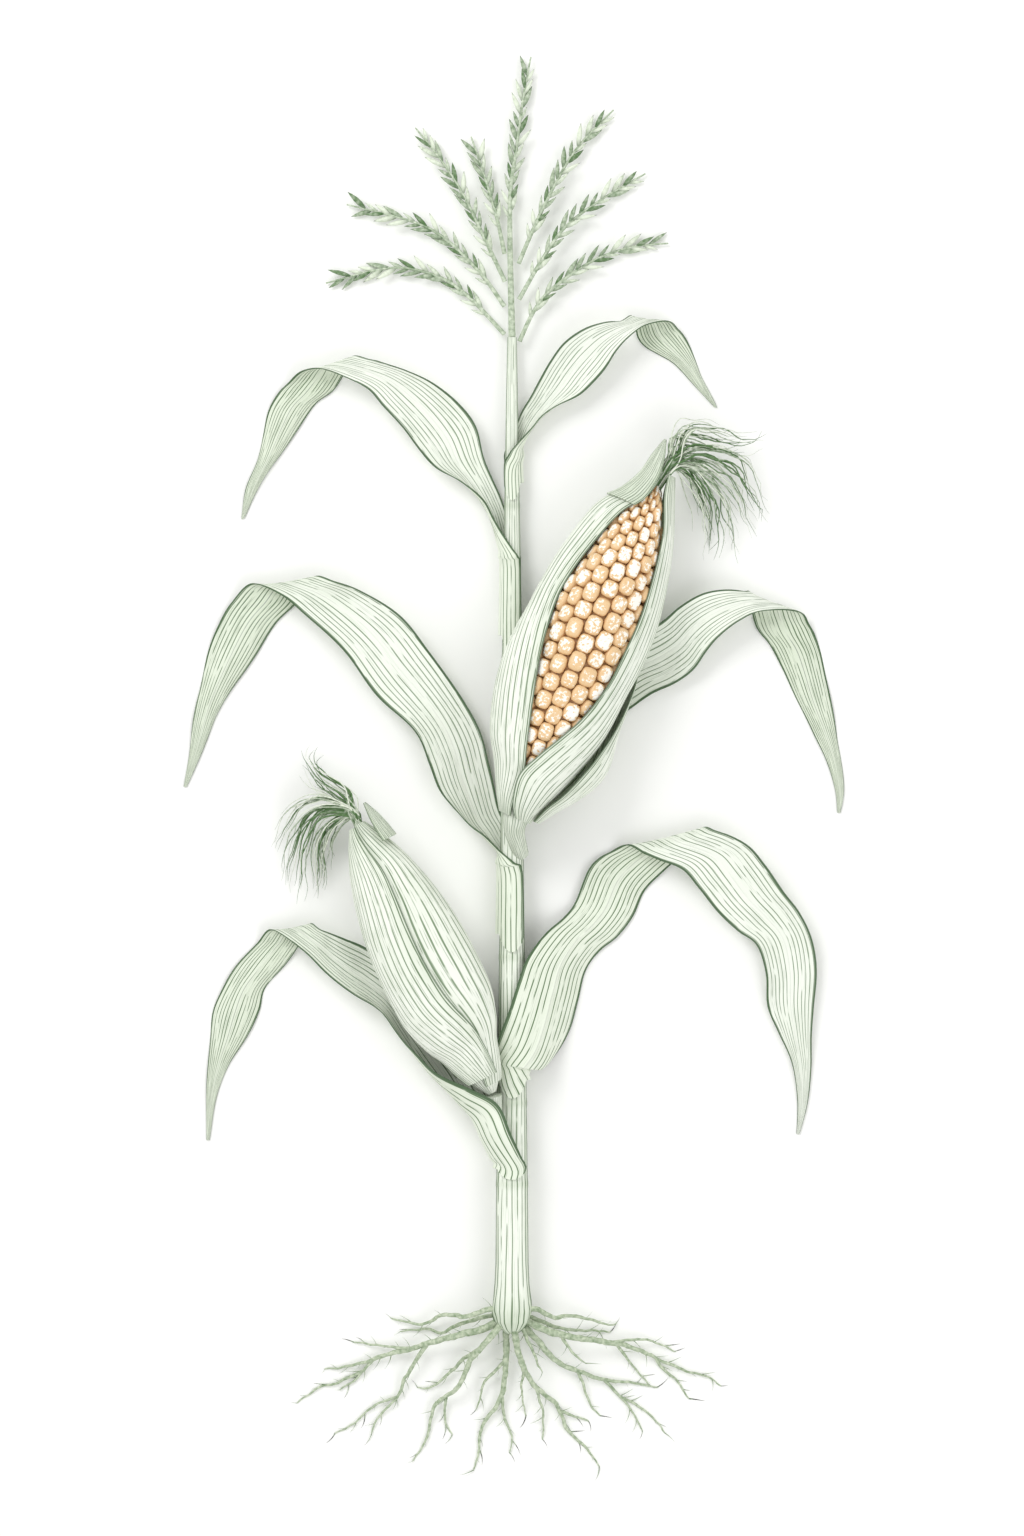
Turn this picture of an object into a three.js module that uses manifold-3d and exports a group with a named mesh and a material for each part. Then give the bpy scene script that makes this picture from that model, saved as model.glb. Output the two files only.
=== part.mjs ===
// A corn plant with its roots, pulled up and lying on a flat surface. Millimetres.
// The stalk lies along +Y with the tassel at the +Y end, and +Z points up out of the surface.
// Plant frame: x = 0 on the stalk, y = 0 where the soil met the stalk, z = 0 on the surface.
import * as THREE from 'three';
import { mergeVertices } from 'three/addons/utils/BufferGeometryUtils.js';
import Module from 'manifold-3d';

// ---------------------------------------------------------------- driving dimensions
const GAP = 0.4;                 // clearance between neighbouring pieces
const SHEATH_GAP = 0.7;          // between the stalk and the sheaths round it
const LEAF_THICKNESS = 1.6;
const HUSK_THICKNESS = 1.6;
const HUSK_LAYER = 2.6;          // from one husk leaf to the next, on the closed ear

// The stalk: its length to the tassel, and its radius at five heights.
const STALK_LENGTH = 972;
const STALK = {
  crownDepth: 26, crownRadius: 20, footRadius: 15.8, middleRadius: 12, upperRadius: 9.3, topRadius: 4.6,
  footY: 100, middleY: 400, upperY: 700,
  crownHeight: 26, topHeight: 12,      // height of its centre line over the surface, at both ends
};

const TASSEL = {
  spikeLength: 282, spikeRadius: 3.6, branchRadius: 2.4, tipRadius: 0.9, tipHeight: 7,
  bareSpike: 125, bareBranch: 34,      // length at the foot that carries no spikelets
  spikeletLength: 23, spikeletRadius: 3.2, spikeletPitch: 19,
};

// The upper ear lies over the stalk and leans to the right, the lower ear lies to its left.
const UPPER_EAR = {
  baseX: 3, baseY: 493, lean: 24.1, cobLength: 350, cobRadius: 45.5, cobShift: -6,
  lift: 21, fall: 0.046,               // lowest line of the cob over the surface, and its fall per mm along
  shankFootX: 9, shankFootY: 454, shankRadius: 9.5,
};
const LOWER_EAR = {
  baseX: -24.8, baseY: 226.6, lean: -26.5, length: 292, radius: 51, squash: 0.9, height: 51.5,
  shankFootY: 166, shankRadius: 7,
};

const ROOT_TIP_RADIUS = 0.8;
const ROOT_SIDES = 5;

// ---------------------------------------------------------------- small helpers
const V = (x, y, z) => new THREE.Vector3(x, y, z);
const rad = THREE.MathUtils.degToRad;
const wasm = await Module();
wasm.setup();

/** Straight-line interpolation in a table of [key, value] rows. */
function lookUp(table, key) {
  const last = table.length - 1;
  if (key <= table[0][0]) return table[0][1];
  if (key >= table[last][0]) return table[last][1];
  const i = table.findIndex((row) => row[0] > key);
  const [k0, v0] = table[i - 1];
  const [k1, v1] = table[i];
  return v0 + (v1 - v0) * (key - k0) / (k1 - k0);
}

/** A closed mesh from vertices and triangles. */
function meshGeometry(points, triangles) {
  const geometry = new THREE.BufferGeometry();
  const numbers = points.flatMap((p) => [p.x, p.y, p.z]);
  geometry.setAttribute('position', new THREE.Float32BufferAttribute(numbers, 3));
  geometry.setIndex(triangles.flat());
  return geometry;
}

/** Geometry to a manifold solid, and back. */
function toSolid(geometry) {
  const merged = mergeVertices(geometry, 1e-4);
  return new wasm.Manifold(new wasm.Mesh({
    numProp: 3,
    vertProperties: new Float32Array(merged.getAttribute('position').array),
    triVerts: new Uint32Array(merged.getIndex().array),
  }));
}

function toGeometry(solid) {
  const mesh = solid.getMesh();
  const geometry = new THREE.BufferGeometry();
  geometry.setAttribute('position', new THREE.BufferAttribute(new Float32Array(mesh.vertProperties), 3));
  geometry.setIndex(new THREE.BufferAttribute(new Uint32Array(mesh.triVerts), 1));
  return geometry;
}

const join = (geometries) => toGeometry(geometries.map(toSolid).reduce((a, b) => a.add(b)));
const cutAway = (geometry, cutter) => toGeometry(toSolid(geometry).subtract(toSolid(cutter)));

/** A closed solid lofted through rings of points that turn from the right side over the top to the left. */
function loftSolid(rings) {
  const sides = rings[0].length;
  const points = rings.flat();
  const triangles = [];
  for (let r = 0; r < rings.length - 1; r += 1) {
    for (let k = 0; k < sides; k += 1) {
      const a = r * sides + k;
      const b = r * sides + (k + 1) % sides;
      triangles.push([a, b + sides, b], [a, a + sides, b + sides]);
    }
  }
  for (const [r, flip] of [[0, true], [rings.length - 1, false]]) {
    const middle = rings[r].reduce((sum, p) => sum.add(p), V(0, 0, 0)).divideScalar(sides);
    const m = points.push(middle) - 1;
    for (let k = 0; k < sides; k += 1) {
      const a = r * sides + k;
      const b = r * sides + (k + 1) % sides;
      triangles.push(flip ? [a, b, m] : [b, a, m]);
    }
  }
  return meshGeometry(points, triangles);
}

/** A round tube of changing radius along a list of centre points. */
function tubeSolid(centres, radii, sides, squash = 1) {
  const rings = centres.map((centre, i) => {
    const before = centres[Math.max(i - 1, 0)];
    const after = centres[Math.min(i + 1, centres.length - 1)];
    const along = after.clone().sub(before).normalize();
    const across = V(along.y, -along.x, 0).normalize();
    const up = across.clone().cross(along);
    return Array.from({ length: sides }, (_, k) => {
      const turn = 2 * Math.PI * k / sides;
      return centre.clone()
        .addScaledVector(across, radii[i] * Math.cos(turn))
        .addScaledVector(up, radii[i] * squash * Math.sin(turn));
    });
  });
  return loftSolid(rings);
}

/** A tapering tube along a smooth curve through the points. */
function taperedTube(points, startRadius, endRadius, sides, steps) {
  const curve = new THREE.CatmullRomCurve3(points.map((p) => V(...p)), false, 'centripetal');
  const centres = curve.getPoints(steps);
  const radii = centres.map((_, i) => startRadius + (endRadius - startRadius) * i / steps);
  return tubeSolid(centres, radii, sides);
}

/** A sheet of even thickness about a grid of points, closed all round. */
function sheetSolid(grid, thickness) {
  const rows = grid.length;
  const columns = grid[0].length;
  const at = (r, c) => grid[Math.min(Math.max(r, 0), rows - 1)][Math.min(Math.max(c, 0), columns - 1)];
  const faces = [1, -1].map((sign) => grid.flatMap((row, r) => row.map((point, c) => {
    const along = at(r + 1, c).clone().sub(at(r - 1, c));
    const across = at(r, c + 1).clone().sub(at(r, c - 1));
    const normal = across.cross(along).normalize();
    return point.clone().addScaledVector(normal, sign * thickness / 2);
  })));
  const points = faces.flat();
  const index = (face, r, c) => face * rows * columns + r * columns + c;
  const triangles = [];
  const quad = (a, b, c, d) => triangles.push([a, b, c], [a, c, d]);
  for (let r = 0; r < rows - 1; r += 1) {
    for (let c = 0; c < columns - 1; c += 1) {
      quad(index(0, r, c), index(0, r, c + 1), index(0, r + 1, c + 1), index(0, r + 1, c));
      quad(index(1, r, c), index(1, r + 1, c), index(1, r + 1, c + 1), index(1, r, c + 1));
    }
    const end = columns - 1;
    quad(index(0, r, 0), index(0, r + 1, 0), index(1, r + 1, 0), index(1, r, 0));
    quad(index(0, r, end), index(1, r, end), index(1, r + 1, end), index(0, r + 1, end));
  }
  for (let c = 0; c < columns - 1; c += 1) {
    const end = rows - 1;
    quad(index(0, 0, c), index(1, 0, c), index(1, 0, c + 1), index(0, 0, c + 1));
    quad(index(0, end, c), index(0, end, c + 1), index(1, end, c + 1), index(1, end, c));
  }
  return meshGeometry(points, triangles);
}

/** A row of points along the arc from a to b that bulges by `sag` towards n. */
function arcRow({ a, b, n, sag }, columns) {
  const chord = b.clone().sub(a);
  const half = chord.length() / 2;
  const along = chord.clone().normalize();
  const out = n.clone().addScaledVector(along, -n.dot(along)).normalize();
  const middle = a.clone().add(b).multiplyScalar(0.5);
  const bulge = Math.max(sag, 1e-3);
  const radius = (half * half + bulge * bulge) / (2 * bulge);
  const centre = middle.addScaledVector(out, bulge - radius);
  const reach = 2 * Math.atan2(bulge, half);
  return Array.from({ length: columns }, (_, c) => {
    const turn = reach * (2 * c / (columns - 1) - 1);
    return centre.clone()
      .addScaledVector(along, radius * Math.sin(turn))
      .addScaledVector(out, radius * Math.cos(turn));
  });
}

/** Catmull-Rom value between b and c, for numbers or vectors. */
function between(a, b, c, d, t) {
  const w = [
    -0.5 * t + t * t - 0.5 * t ** 3,
    1 - 2.5 * t * t + 1.5 * t ** 3,
    0.5 * t + 2 * t * t - 1.5 * t ** 3,
    -0.5 * t * t + 0.5 * t ** 3,
  ];
  if (typeof b === 'number') return a * w[0] + b * w[1] + c * w[2] + d * w[3];
  return [a, b, c, d].reduce((sum, point, i) => sum.addScaledVector(point, w[i]), V(0, 0, 0));
}

/** Extra rows where a strip turns over: wherever its height changes fast. */
function refine(stations, steps, steep) {
  const rows = [];
  for (let i = 0; i < stations.length - 1; i += 1) {
    const four = [i - 1, i, i + 1, i + 2].map((n) => stations[Math.min(Math.max(n, 0), stations.length - 1)]);
    const fall = Math.abs(four[2].a.z + four[2].b.z - four[1].a.z - four[1].b.z) / 2;
    const count = fall > steep && !four[1].wrap ? steps : 1;
    for (let k = 0; k < count; k += 1) {
      const mix = (key) => between(...four.map((station) => station[key]), k / count);
      rows.push({ a: mix('a'), b: mix('b'), n: mix('n'), sag: mix('sag') });
    }
  }
  rows.push(stations[stations.length - 1]);
  return rows;
}

// ---------------------------------------------------------------- stalk
const stalkTable = [
  [-STALK.crownDepth, 5], [-STALK.crownDepth + 5, 12], [-14, 17.5], [-3, STALK.crownRadius],
  [8, 19], [24, 17.2], [44, 16.3], [STALK.footY, STALK.footRadius], [STALK.middleY, STALK.middleRadius],
  [STALK.upperY, STALK.upperRadius], [STALK_LENGTH, STALK.topRadius],
];
const stalkRadius = (y) => lookUp(stalkTable, y);
const stalkHeight = (y) => (
  STALK.crownHeight + (STALK.topHeight - STALK.crownHeight) * Math.max(y, 0) / STALK_LENGTH);

const stalkBlank = (grow) => {
  const extra = [150, 205, 300, 505, 600, 800, 890];
  const rings = [...stalkTable.map((row) => row[0]), ...extra].sort((p, q) => p - q);
  const centres = rings.map((y, i) => V(0, y - (i === 0 ? grow : 0), stalkHeight(y)));
  return tubeSolid(centres, rings.map((y) => stalkRadius(y) + grow), 16);
};

// ---------------------------------------------------------------- leaves
// Each leaf is one strip, from its sheath round the stalk to the tip of its blade.
// wraps: [height from the collar, angle of the front margin, angle of the back margin], where the angle
// runs round the stalk from the side away from the leaf, towards the viewer's side.
// blade: [front margin x, y, z, back margin x, y, z, bulge towards the underside]; y from the collar.
const LEAF_COLUMNS = 7;
const COLLAR_STAND = 1.8;         // how far the opening collar stands off the sheath's own circle
const LEAVES = [
  {
    name: 'leaf_lower_left', side: -1, collarY: 150, footY: 129,
    wraps: [[-8, 42, -48]],
    blade: [
      [-1, 26, 54, 6, 28, 5.5, 34],
      [-14, 55, 58, -4, 62, 4, 37],
      [-42, 71, 64, -22, 90, 6, 34],
      [-79, 88, 60, -48, 126, 6.5, 27],
      [-103, 112, 48, -80, 160, 4.5, 22],
      [-124, 140, 36, -112, 187, 5, 15],
      [-138, 150, 29, -146, 209, 9, 12],
      [-158, 162, 27, -168, 219, 18, 8],
      [-182, 182, 29, -182, 225, 24, 5],
      [-208, 207, 30, -192, 229, 28, 2],
      [-240, 227, 17, -203, 234, 17, 1],
      [-256, 214, 4, -212, 216, 5, 2],
      [-268, 202, 2, -222, 200, 2.5, 4],
      [-279, 188, 1.2, -231, 188, 1.5, 6],
      [-290, 168, 1, -248, 168, 1, 7],
      [-301, 145, 1, -254, 147, 1, 8],
      [-304, 120, 1, -266, 122, 1, 7],
      [-305, 90, 1, -285, 90, 1, 4],
      [-307, 55, 1, -298, 55, 1, 2],
      [-307, 16, 1, -304, 16, 1, 0],
    ],
  },
  {
    name: 'leaf_lower_right', side: 1, collarY: 250, footY: 210,
    wraps: [[-32, 30, -60], [-23, 28, -100], [-12, 26, -135]],
    blade: [
      [-18, 2, 27, 31, -10, 13, 23],
      [-12, 24, 39, 46, 6, 5, 16],
      [-3, 48, 39, 58, 28, 2, 10],
      [6, 76, 38, 66, 56, 1.5, 8],
      [15, 100, 35, 74, 86, 1.5, 7],
      [34, 125, 23, 88, 107, 1.5, 7],
      [52, 141, 12, 106, 122, 1.5, 7],
      [64, 156, 6, 122, 142, 1.5, 7],
      [77, 187, 5, 134, 167, 2, 6],
      [88, 200, 5, 152, 186, 3, 3],
      [102, 207, 6, 172, 205, 5, 1.5],
      [117, 212, 17, 190, 230, 17, 1],
      [132, 205, 29, 204, 227, 29, 1.5],
      [146, 199, 31, 220, 222, 31, 4],
      [170, 189, 30, 238, 211, 31, 7],
      [186, 170, 28, 254, 191, 29, 8],
      [204, 148, 25, 271, 167, 26, 9],
      [226, 128, 21, 288, 146, 22, 9],
      [245, 113, 17, 300, 120, 18, 8],
      [254, 83, 13, 305, 87, 13, 7],
      [257, 52, 9, 303, 49, 9, 6],
      [268, 25, 6.5, 301, 18, 6.5, 4.5],
      [281, -8, 4, 300, -14, 4, 2.5],
      [287, -45, 2, 297, -47, 2, 1],
      [286, -78, 1, 289, -78, 1, 0],
    ],
  },
  {
    name: 'leaf_middle_left', side: -1, collarY: 457, footY: 356,
    wraps: [[-24, 42, -38], [-14, 78, -48], [0, 140, -70]],
    blade: [
      [-27, 15, 32, -6, 27, 5, 12],
      [-46, 29, 30, -14, 45, 6, 12],
      [-69, 56, 27, -22, 83, 10, 10],
      [-82, 87, 26, -31, 118, 15, 9],
      [-98, 119, 26, -48, 149, 20, 8],
      [-135, 156, 28, -82, 199, 26, 8],
      [-168, 199, 31, -112, 235, 30, 7],
      [-207, 237, 33, -152, 261, 32, 6],
      [-232, 257, 31, -178, 270, 33, 4],
      [-262, 266, 17, -200, 275, 17, 2],
      [-282, 249, 4, -216, 249, 4, 4],
      [-294, 227, 1.5, -236, 229, 2, 6],
      [-307, 195, 1.2, -256, 199, 1.2, 8],
      [-315, 158, 1.2, -280, 165, 1.2, 7],
      [-319, 133, 1.2, -295, 138, 1.2, 5],
      [-323, 105, 1.2, -307, 110, 1.2, 3],
      [-330, 64, 1, -327, 64, 1, 0],
    ],
  },
  {
    name: 'leaf_middle_right', side: 1, collarY: 535, footY: 506,
    wraps: [[-8, 38, -40], [0, 68, -50], [7, 115, -58], [12, 145, -62]],
    blade: [
      [22, 18, 19, 5, 24, 3.5, 9],
      [44, 21, 6, 22, 53, 4, 3.5],
      [76, 37, 4, 48, 87, 4, 3],
      [109, 58, 5, 76, 111, 4.5, 4],
      [139, 78, 9, 106, 131, 8, 6],
      [162, 89, 14, 130, 141, 13, 8],
      [180, 103, 20, 150, 152, 19, 8],
      [193, 121, 25, 168, 167, 24, 7],
      [207, 136, 29, 190, 179, 28, 5],
      [228, 152, 31, 212, 183, 30, 3],
      [250, 162, 28, 232, 182, 29, 1.5],
      [288, 163, 17, 237, 180, 18, 1],
      [299, 149, 5, 240, 165, 6, 2],
      [306, 135, 2, 246, 146, 2.5, 4],
      [312, 117, 1, 260, 129, 1, 7],
      [316, 93, 1, 272, 105, 1, 8],
      [320, 69, 1, 284, 77, 1, 7],
      [326, 41, 1, 301, 45, 1, 5],
      [331, 13, 1, 316, 14, 1, 3],
      [333, -17, 1, 325, -18, 1, 1.5],
      [330, -40, 1, 327, -40, 1, 0],
    ],
  },
  {
    name: 'leaf_upper_left', side: -1, collarY: 759, footY: 655,
    wraps: [[-20, 40, -38], [-9, 58, -45], [0, 85, -60]],
    blade: [
      [-18, 29, 24, -6, 37, 5, 10],
      [-30, 49, 25, -12, 53, 7, 10],
      [-53, 69, 26, -19, 70, 11, 9],
      [-76, 83, 26, -28, 93, 15, 9],
      [-94, 101, 26, -36, 123, 20, 9],
      [-110, 121, 27, -54, 146, 24, 8],
      [-128, 142, 29, -80, 167, 28, 7],
      [-143, 160, 31, -105, 179, 31, 5],
      [-165, 171, 31, -128, 186, 32, 3],
      [-190, 179, 29, -142, 190, 31, 2],
      [-212, 177, 17, -160, 194, 18, 1],
      [-226, 167, 4, -168, 177, 6, 2],
      [-236, 155, 1.5, -180, 159, 2.5, 5],
      [-245, 138, 1, -197, 147, 1, 7],
      [-251, 115, 1, -213, 126, 1, 7],
      [-257, 87, 1, -232, 97, 1, 6],
      [-266, 62, 1, -248, 73, 1, 4],
      [-270, 44, 1, -260, 52, 1, 2],
      [-272, 31, 1, -269, 32, 1, 0],
    ],
  },
  {
    name: 'leaf_upper_right', side: 1, collarY: 862, footY: 808,
    wraps: [[-24, 35, -38], [-12, 70, -45], [0, 105, -60]],
    blade: [
      [20, 19, 21, 4, 22, 5, 7],
      [30, 30, 22, 10, 36, 6, 8],
      [46, 40, 22, 19, 50, 10, 8],
      [66, 51, 23, 28, 68, 15, 8],
      [80, 64, 25, 38, 86, 20, 7],
      [93, 78, 28, 52, 104, 25, 6],
      [105, 95, 30, 72, 117, 29, 4],
      [118, 109, 31, 92, 123, 31, 3],
      [134, 121, 28, 108, 125, 30, 1.5],
      [157, 127, 17, 120, 130, 18, 1],
      [167, 119, 5, 126, 110, 6, 2],
      [174, 110, 2, 134, 101, 2.5, 4],
      [181, 97, 1, 146, 95, 1, 6],
      [187, 83, 1, 160, 88, 1, 6],
      [191, 72, 1, 170, 79, 1, 5],
      [197, 58, 1, 184, 62, 1, 3],
      [206, 40, 1, 203, 41, 1, 0],
    ],
  },
];

/** A station of the sheath: an arc round the stalk, wide enough for its flat facets to clear it. */
function wrapStation(y, front, back, side, stand) {
  const span = rad(360 - front + back);
  const facet = Math.cos(span / (LEAF_COLUMNS - 1) / 2);
  const radius = (stalkRadius(y) + SHEATH_GAP + stand) / facet + LEAF_THICKNESS / 2;
  const middle = rad(180 + (front + back) / 2);
  const spot = (turn, r) => V(-side * r * Math.cos(turn), y, stalkHeight(y) + r * Math.sin(turn));
  const a = spot(rad(front), radius);
  const b = spot(rad(back), radius);
  const n = spot(middle, 1).sub(spot(0, 0));
  return { a, b, n, sag: radius * (1 - Math.cos(span / 2)), wrap: true };
}

function leafSolid(leaf) {
  const wraps = [[leaf.footY - leaf.collarY, 40, -40], ...leaf.wraps].map(([y, front, back], i) => (
    wrapStation(leaf.collarY + y, front, back, leaf.side, i > 1 ? COLLAR_STAND : 0)));
  const blade = leaf.blade.map(([ax, ay, az, bx, by, bz, sag]) => (
    { a: V(ax, leaf.collarY + ay, az), b: V(bx, leaf.collarY + by, bz), sag }));
  const stations = [...wraps, ...blade];
  const middles = stations.map(({ a, b }) => a.clone().add(b).multiplyScalar(0.5));
  stations.forEach((station, i) => {
    if (station.wrap) return;
    const along = middles[Math.min(i + 1, middles.length - 1)].clone().sub(middles[i - 1]);
    station.n = along.cross(station.b.clone().sub(station.a)).normalize().multiplyScalar(-leaf.side);
  });
  const grid = refine(stations, 2, 7.5).map((row) => arcRow(row, LEAF_COLUMNS));
  return sheetSolid(leaf.side < 0 ? grid.map((row) => row.reverse()) : grid, LEAF_THICKNESS);
}

// ---------------------------------------------------------------- ears
const PROFILE_RADIUS = 51;        // the radius that the lower ear's profile below is set out for

/** The frame of an ear: s along its axis, q across it to the right, h up from it. */
function earFrame(ear, heightAt) {
  const along = V(Math.sin(rad(ear.lean)), Math.cos(rad(ear.lean)), 0);
  const across = V(along.y, -along.x, 0);
  return (s, q, h) => V(ear.baseX, ear.baseY, heightAt(s) + h)
    .addScaledVector(along, s)
    .addScaledVector(across, q);
}

/** Height of the lower ear's axis: its foot bends down to the stalk, and a fatter ear lies higher. */
function lowerAxisHeight(s) {
  const fatter = (LOWER_EAR.radius - PROFILE_RADIUS) * LOWER_EAR.squash;
  const rise = 0.02 * Math.min(s, 100);
  const bend = 0.0004 * Math.max(0, 40 - s) ** 2;
  return LOWER_EAR.height + fatter * Math.min(Math.max(s / 100, 0), 1) + rise - bend;
}

const upper = earFrame(UPPER_EAR, (s) => UPPER_EAR.lift + UPPER_EAR.cobRadius - UPPER_EAR.fall * s);
const lower = earFrame(LOWER_EAR, lowerAxisHeight);

/** A husk leaf: rows of [s, front q, front h, back q, back h, bulge] in an ear's frame. */
function huskSolid(frame, rows, side, columns = 9, swell = 1) {
  const stations = rows.map(([s, ...section]) => {
    const [qa, ha, qb, hb, sag] = section.map((value) => value * swell);
    const a = frame(s, qa, ha);
    const b = frame(s, qb, hb);
    const across = b.clone().sub(a);
    const along = frame(s + 1, 0, 0).sub(frame(s, 0, 0));
    return { a, b, n: along.cross(across).normalize().multiplyScalar(-side), sag };
  });
  const grid = stations.map((row) => arcRow(row, columns));
  return sheetSolid(side < 0 ? grid.map((row) => row.reverse()) : grid, HUSK_THICKNESS);
}

// Radius of the cob over its kernels, at shares of its length.
const cobProfile = [
  [0.02, 0.3], [0.06, 0.5], [0.17, 0.74], [0.31, 0.93], [0.45, 0.99], [0.57, 1], [0.69, 0.93],
  [0.81, 0.75], [0.91, 0.52], [0.985, 0.25], [1.01, 0.08],
];
const KERNEL_RINGS = 17;
const KERNEL_SIDES = 18;

function cobSolid() {
  const { cobLength, cobRadius, cobShift } = UPPER_EAR;
  const rings = Array.from({ length: KERNEL_RINGS * 2 + 1 }, (_, i) => {
    const share = 0.02 + 0.99 * i / (KERNEL_RINGS * 2);
    const radius = cobRadius * lookUp(cobProfile, share) * (i % 2 ? 1 : 0.955);
    return Array.from({ length: KERNEL_SIDES }, (__, k) => {
      const turn = 2 * Math.PI * k / KERNEL_SIDES;
      return upper(cobLength * share, cobShift + radius * Math.cos(turn), radius * Math.sin(turn));
    });
  });
  return loftSolid(rings);
}

const HUSKS_FIT_RADIUS = 45.5;    // the cob radius that these rows lie round
const upperHusks = {
  husk_left: [-1, [
    [-2, -4, 15, -13, -14, 7], [12, -7, 26.5, -21, -14, 10], [42, -9, 33, -38, -20, 15],
    [70, -18, 38, -52, -21, 21], [114, -31, 39, -62, -22, 24], [156, -42, 33, -58, -25, 26],
    [200, -48.5, 23, -42, -42, 28], [229, -49, 15, -40, -42, 27], [268, -42, 18, -34, -36, 28],
    [317, -27, 18, -21, -26, 29], [344, -9, 15, -9, -18, 23], [372, -4, 8, -5, -9, 11],
  ]],
  husk_right: [1, [
    [-2, 1, 17, 13, -16, 9], [12, -8, 31, 13, -22, 18], [38, -13, 38.5, 17, -26, 29],
    [62, -4, 40, 22, -30, 30], [90, 10, 38.5, 26, -34, 29], [117, 22, 36, 30, -38, 25],
    [154, 31, 30, 33, -41, 21], [192, 33, 27, 34, -42, 22], [233, 33, 22, 32, -40, 20],
    [281, 27, 18, 24, -34, 17], [318, 19, 13, 15, -25, 14], [350, 6, 9, 5, -12, 12],
    [372, 1, 6, 1, -8, 7],
  ]],
  husk_outer: [1, [
    [2, 20, 10, 15, -24, 7], [19, 26, 15, 20, -32, 13], [38, 36, 17, 26, -42, 19],
    [62, 44.5, 17, 34, -47, 24], [85, 51, 12, 37, -49, 22], [120, 57, -3, 38, -50, 12],
    [160, 57.5, -19, 37, -50, 8], [195, 51, -38, 44, -45, 1],
  ]],
  husk_tip: [-1, [
    [330, -17, 21, -47, -7, 11], [342, -10, 19.5, -36, -6, 10], [363, -6.5, 15, -26, -5, 7],
    [385, -9, 10, -22, -3, 4], [403, -15, 3, -17, -1, 0.5],
  ]],
};

/** The husk leaf under the cob, an arc close round it. */
function backHuskRows() {
  const reach = 50;
  return cobProfile.slice(1, -1).map(([share, swell]) => {
    const radius = (UPPER_EAR.cobRadius * swell + GAP) * 1.02 + HUSK_THICKNESS / 2 + 0.3;
    const q = radius * Math.sin(rad(reach));
    const h = -radius * Math.cos(rad(reach));
    return [share * UPPER_EAR.cobLength, UPPER_EAR.cobShift + q, h, UPPER_EAR.cobShift - q, h, radius + h];
  });
}

// Radius of the closed lower ear at shares of its length.
const lowerProfile = [
  [-0.04, 10], [0, 19], [0.06, 26], [0.13, 32.5], [0.19, 41], [0.28, 49], [0.36, 51], [0.48, 51], [0.6, 48],
  [0.71, 42], [0.82, 33], [0.91, 22], [0.97, 12.5], [1, 7],
].map(([share, radius]) => [share, radius * LOWER_EAR.radius / PROFILE_RADIUS]);

/** A point on the closed ear at a share of its length, a radius and a turn about its axis. */
function lowerSpot(share, radius, turn) {
  const rise = radius * LOWER_EAR.squash * Math.sin(turn);
  return lower(LOWER_EAR.length * share, radius * Math.cos(turn), rise);
}

function lowerEarBody() {
  const layers = 2 * HUSK_LAYER + 0.8 + 0.03 * (LOWER_EAR.radius - PROFILE_RADIUS);
  const shares = lowerProfile.map((row) => row[0]);
  const rings = shares.map((share) => Array.from({ length: 20 }, (_, k) => {
    const turn = 2 * Math.PI * k / 20;
    const radius = lookUp(lowerProfile, share) - layers;
    return lowerSpot(share, radius, turn);
  }));
  return loftSolid(rings);
}

/** A husk leaf lying on the lower ear: rows of [share of length, first angle, last angle], in one layer. */
function wrapHusk(layer, rows, columns) {
  const grid = rows.map(([share, first, last]) => Array.from({ length: columns }, (_, c) => {
    const turn = rad(first + (last - first) * c / (columns - 1));
    const inset = layer * HUSK_LAYER + HUSK_THICKNESS / 2 + GAP / 2;
    const radius = lookUp(lowerProfile, share) - inset;
    return lowerSpot(share, radius, turn);
  }));
  return sheetSolid(grid.map((row) => row.reverse()), HUSK_THICKNESS);
}

const lowerHusks = {
  husk_right: [1, [
    [-0.01, -80, 100], [0.06, -80, 88], [0.13, -80, 80], [0.19, -80, 84], [0.28, -80, 94], [0.36, -80, 100],
    [0.48, -80, 104], [0.6, -80, 102], [0.71, -80, 98], [0.82, -80, 96], [0.91, -80, 110], [0.985, -80, 130],
  ]],
  husk_front: [0, [
    [0.02, 50, 150], [0.06, 55, 160], [0.13, 62, 175], [0.19, 70, 190], [0.28, 82, 200], [0.36, 88, 205],
    [0.48, 91, 208], [0.6, 90, 206], [0.71, 87, 202], [0.82, 86, 205], [0.91, 98, 215], [0.98, 115, 240],
  ]],
  husk_left: [0, [
    [0.06, 186, 265], [0.13, 196, 268], [0.19, 204, 269], [0.28, 214, 270], [0.36, 219, 271],
    [0.48, 222, 272], [0.6, 220, 271], [0.71, 216, 270], [0.82, 220, 268], [0.91, 234, 266],
  ]],
};

// ---------------------------------------------------------------- silk, tassel and roots
// Silk strands: centre points x, y, z in the plant frame, from the neck of the ear to the tip.
const upperSilk = [
  [[161, 846, 46], [173, 877, 50], [203, 876, 42], [231, 868, 28], [256, 873, 18]],
  [[161, 846, 46], [168, 868, 46], [198, 862, 38], [228, 858, 26], [243, 867, 16]],
  [[161, 845, 45], [191, 857, 46], [231, 844, 32], [244, 824, 18], [258, 790, 6]],
  [[161, 845, 45], [190, 848, 42], [222, 830, 30], [240, 800, 16], [250, 777, 6]],
  [[162, 844, 44], [185, 842, 38], [210, 822, 30], [226, 790, 16], [233, 757, 5]],
  [[162, 844, 44], [180, 838, 34], [198, 812, 28], [206, 785, 14], [205, 751, 5]],
  [[162, 843, 43], [176, 832, 30], [188, 806, 22], [194, 785, 12], [191, 760, 5]],
];
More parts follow.
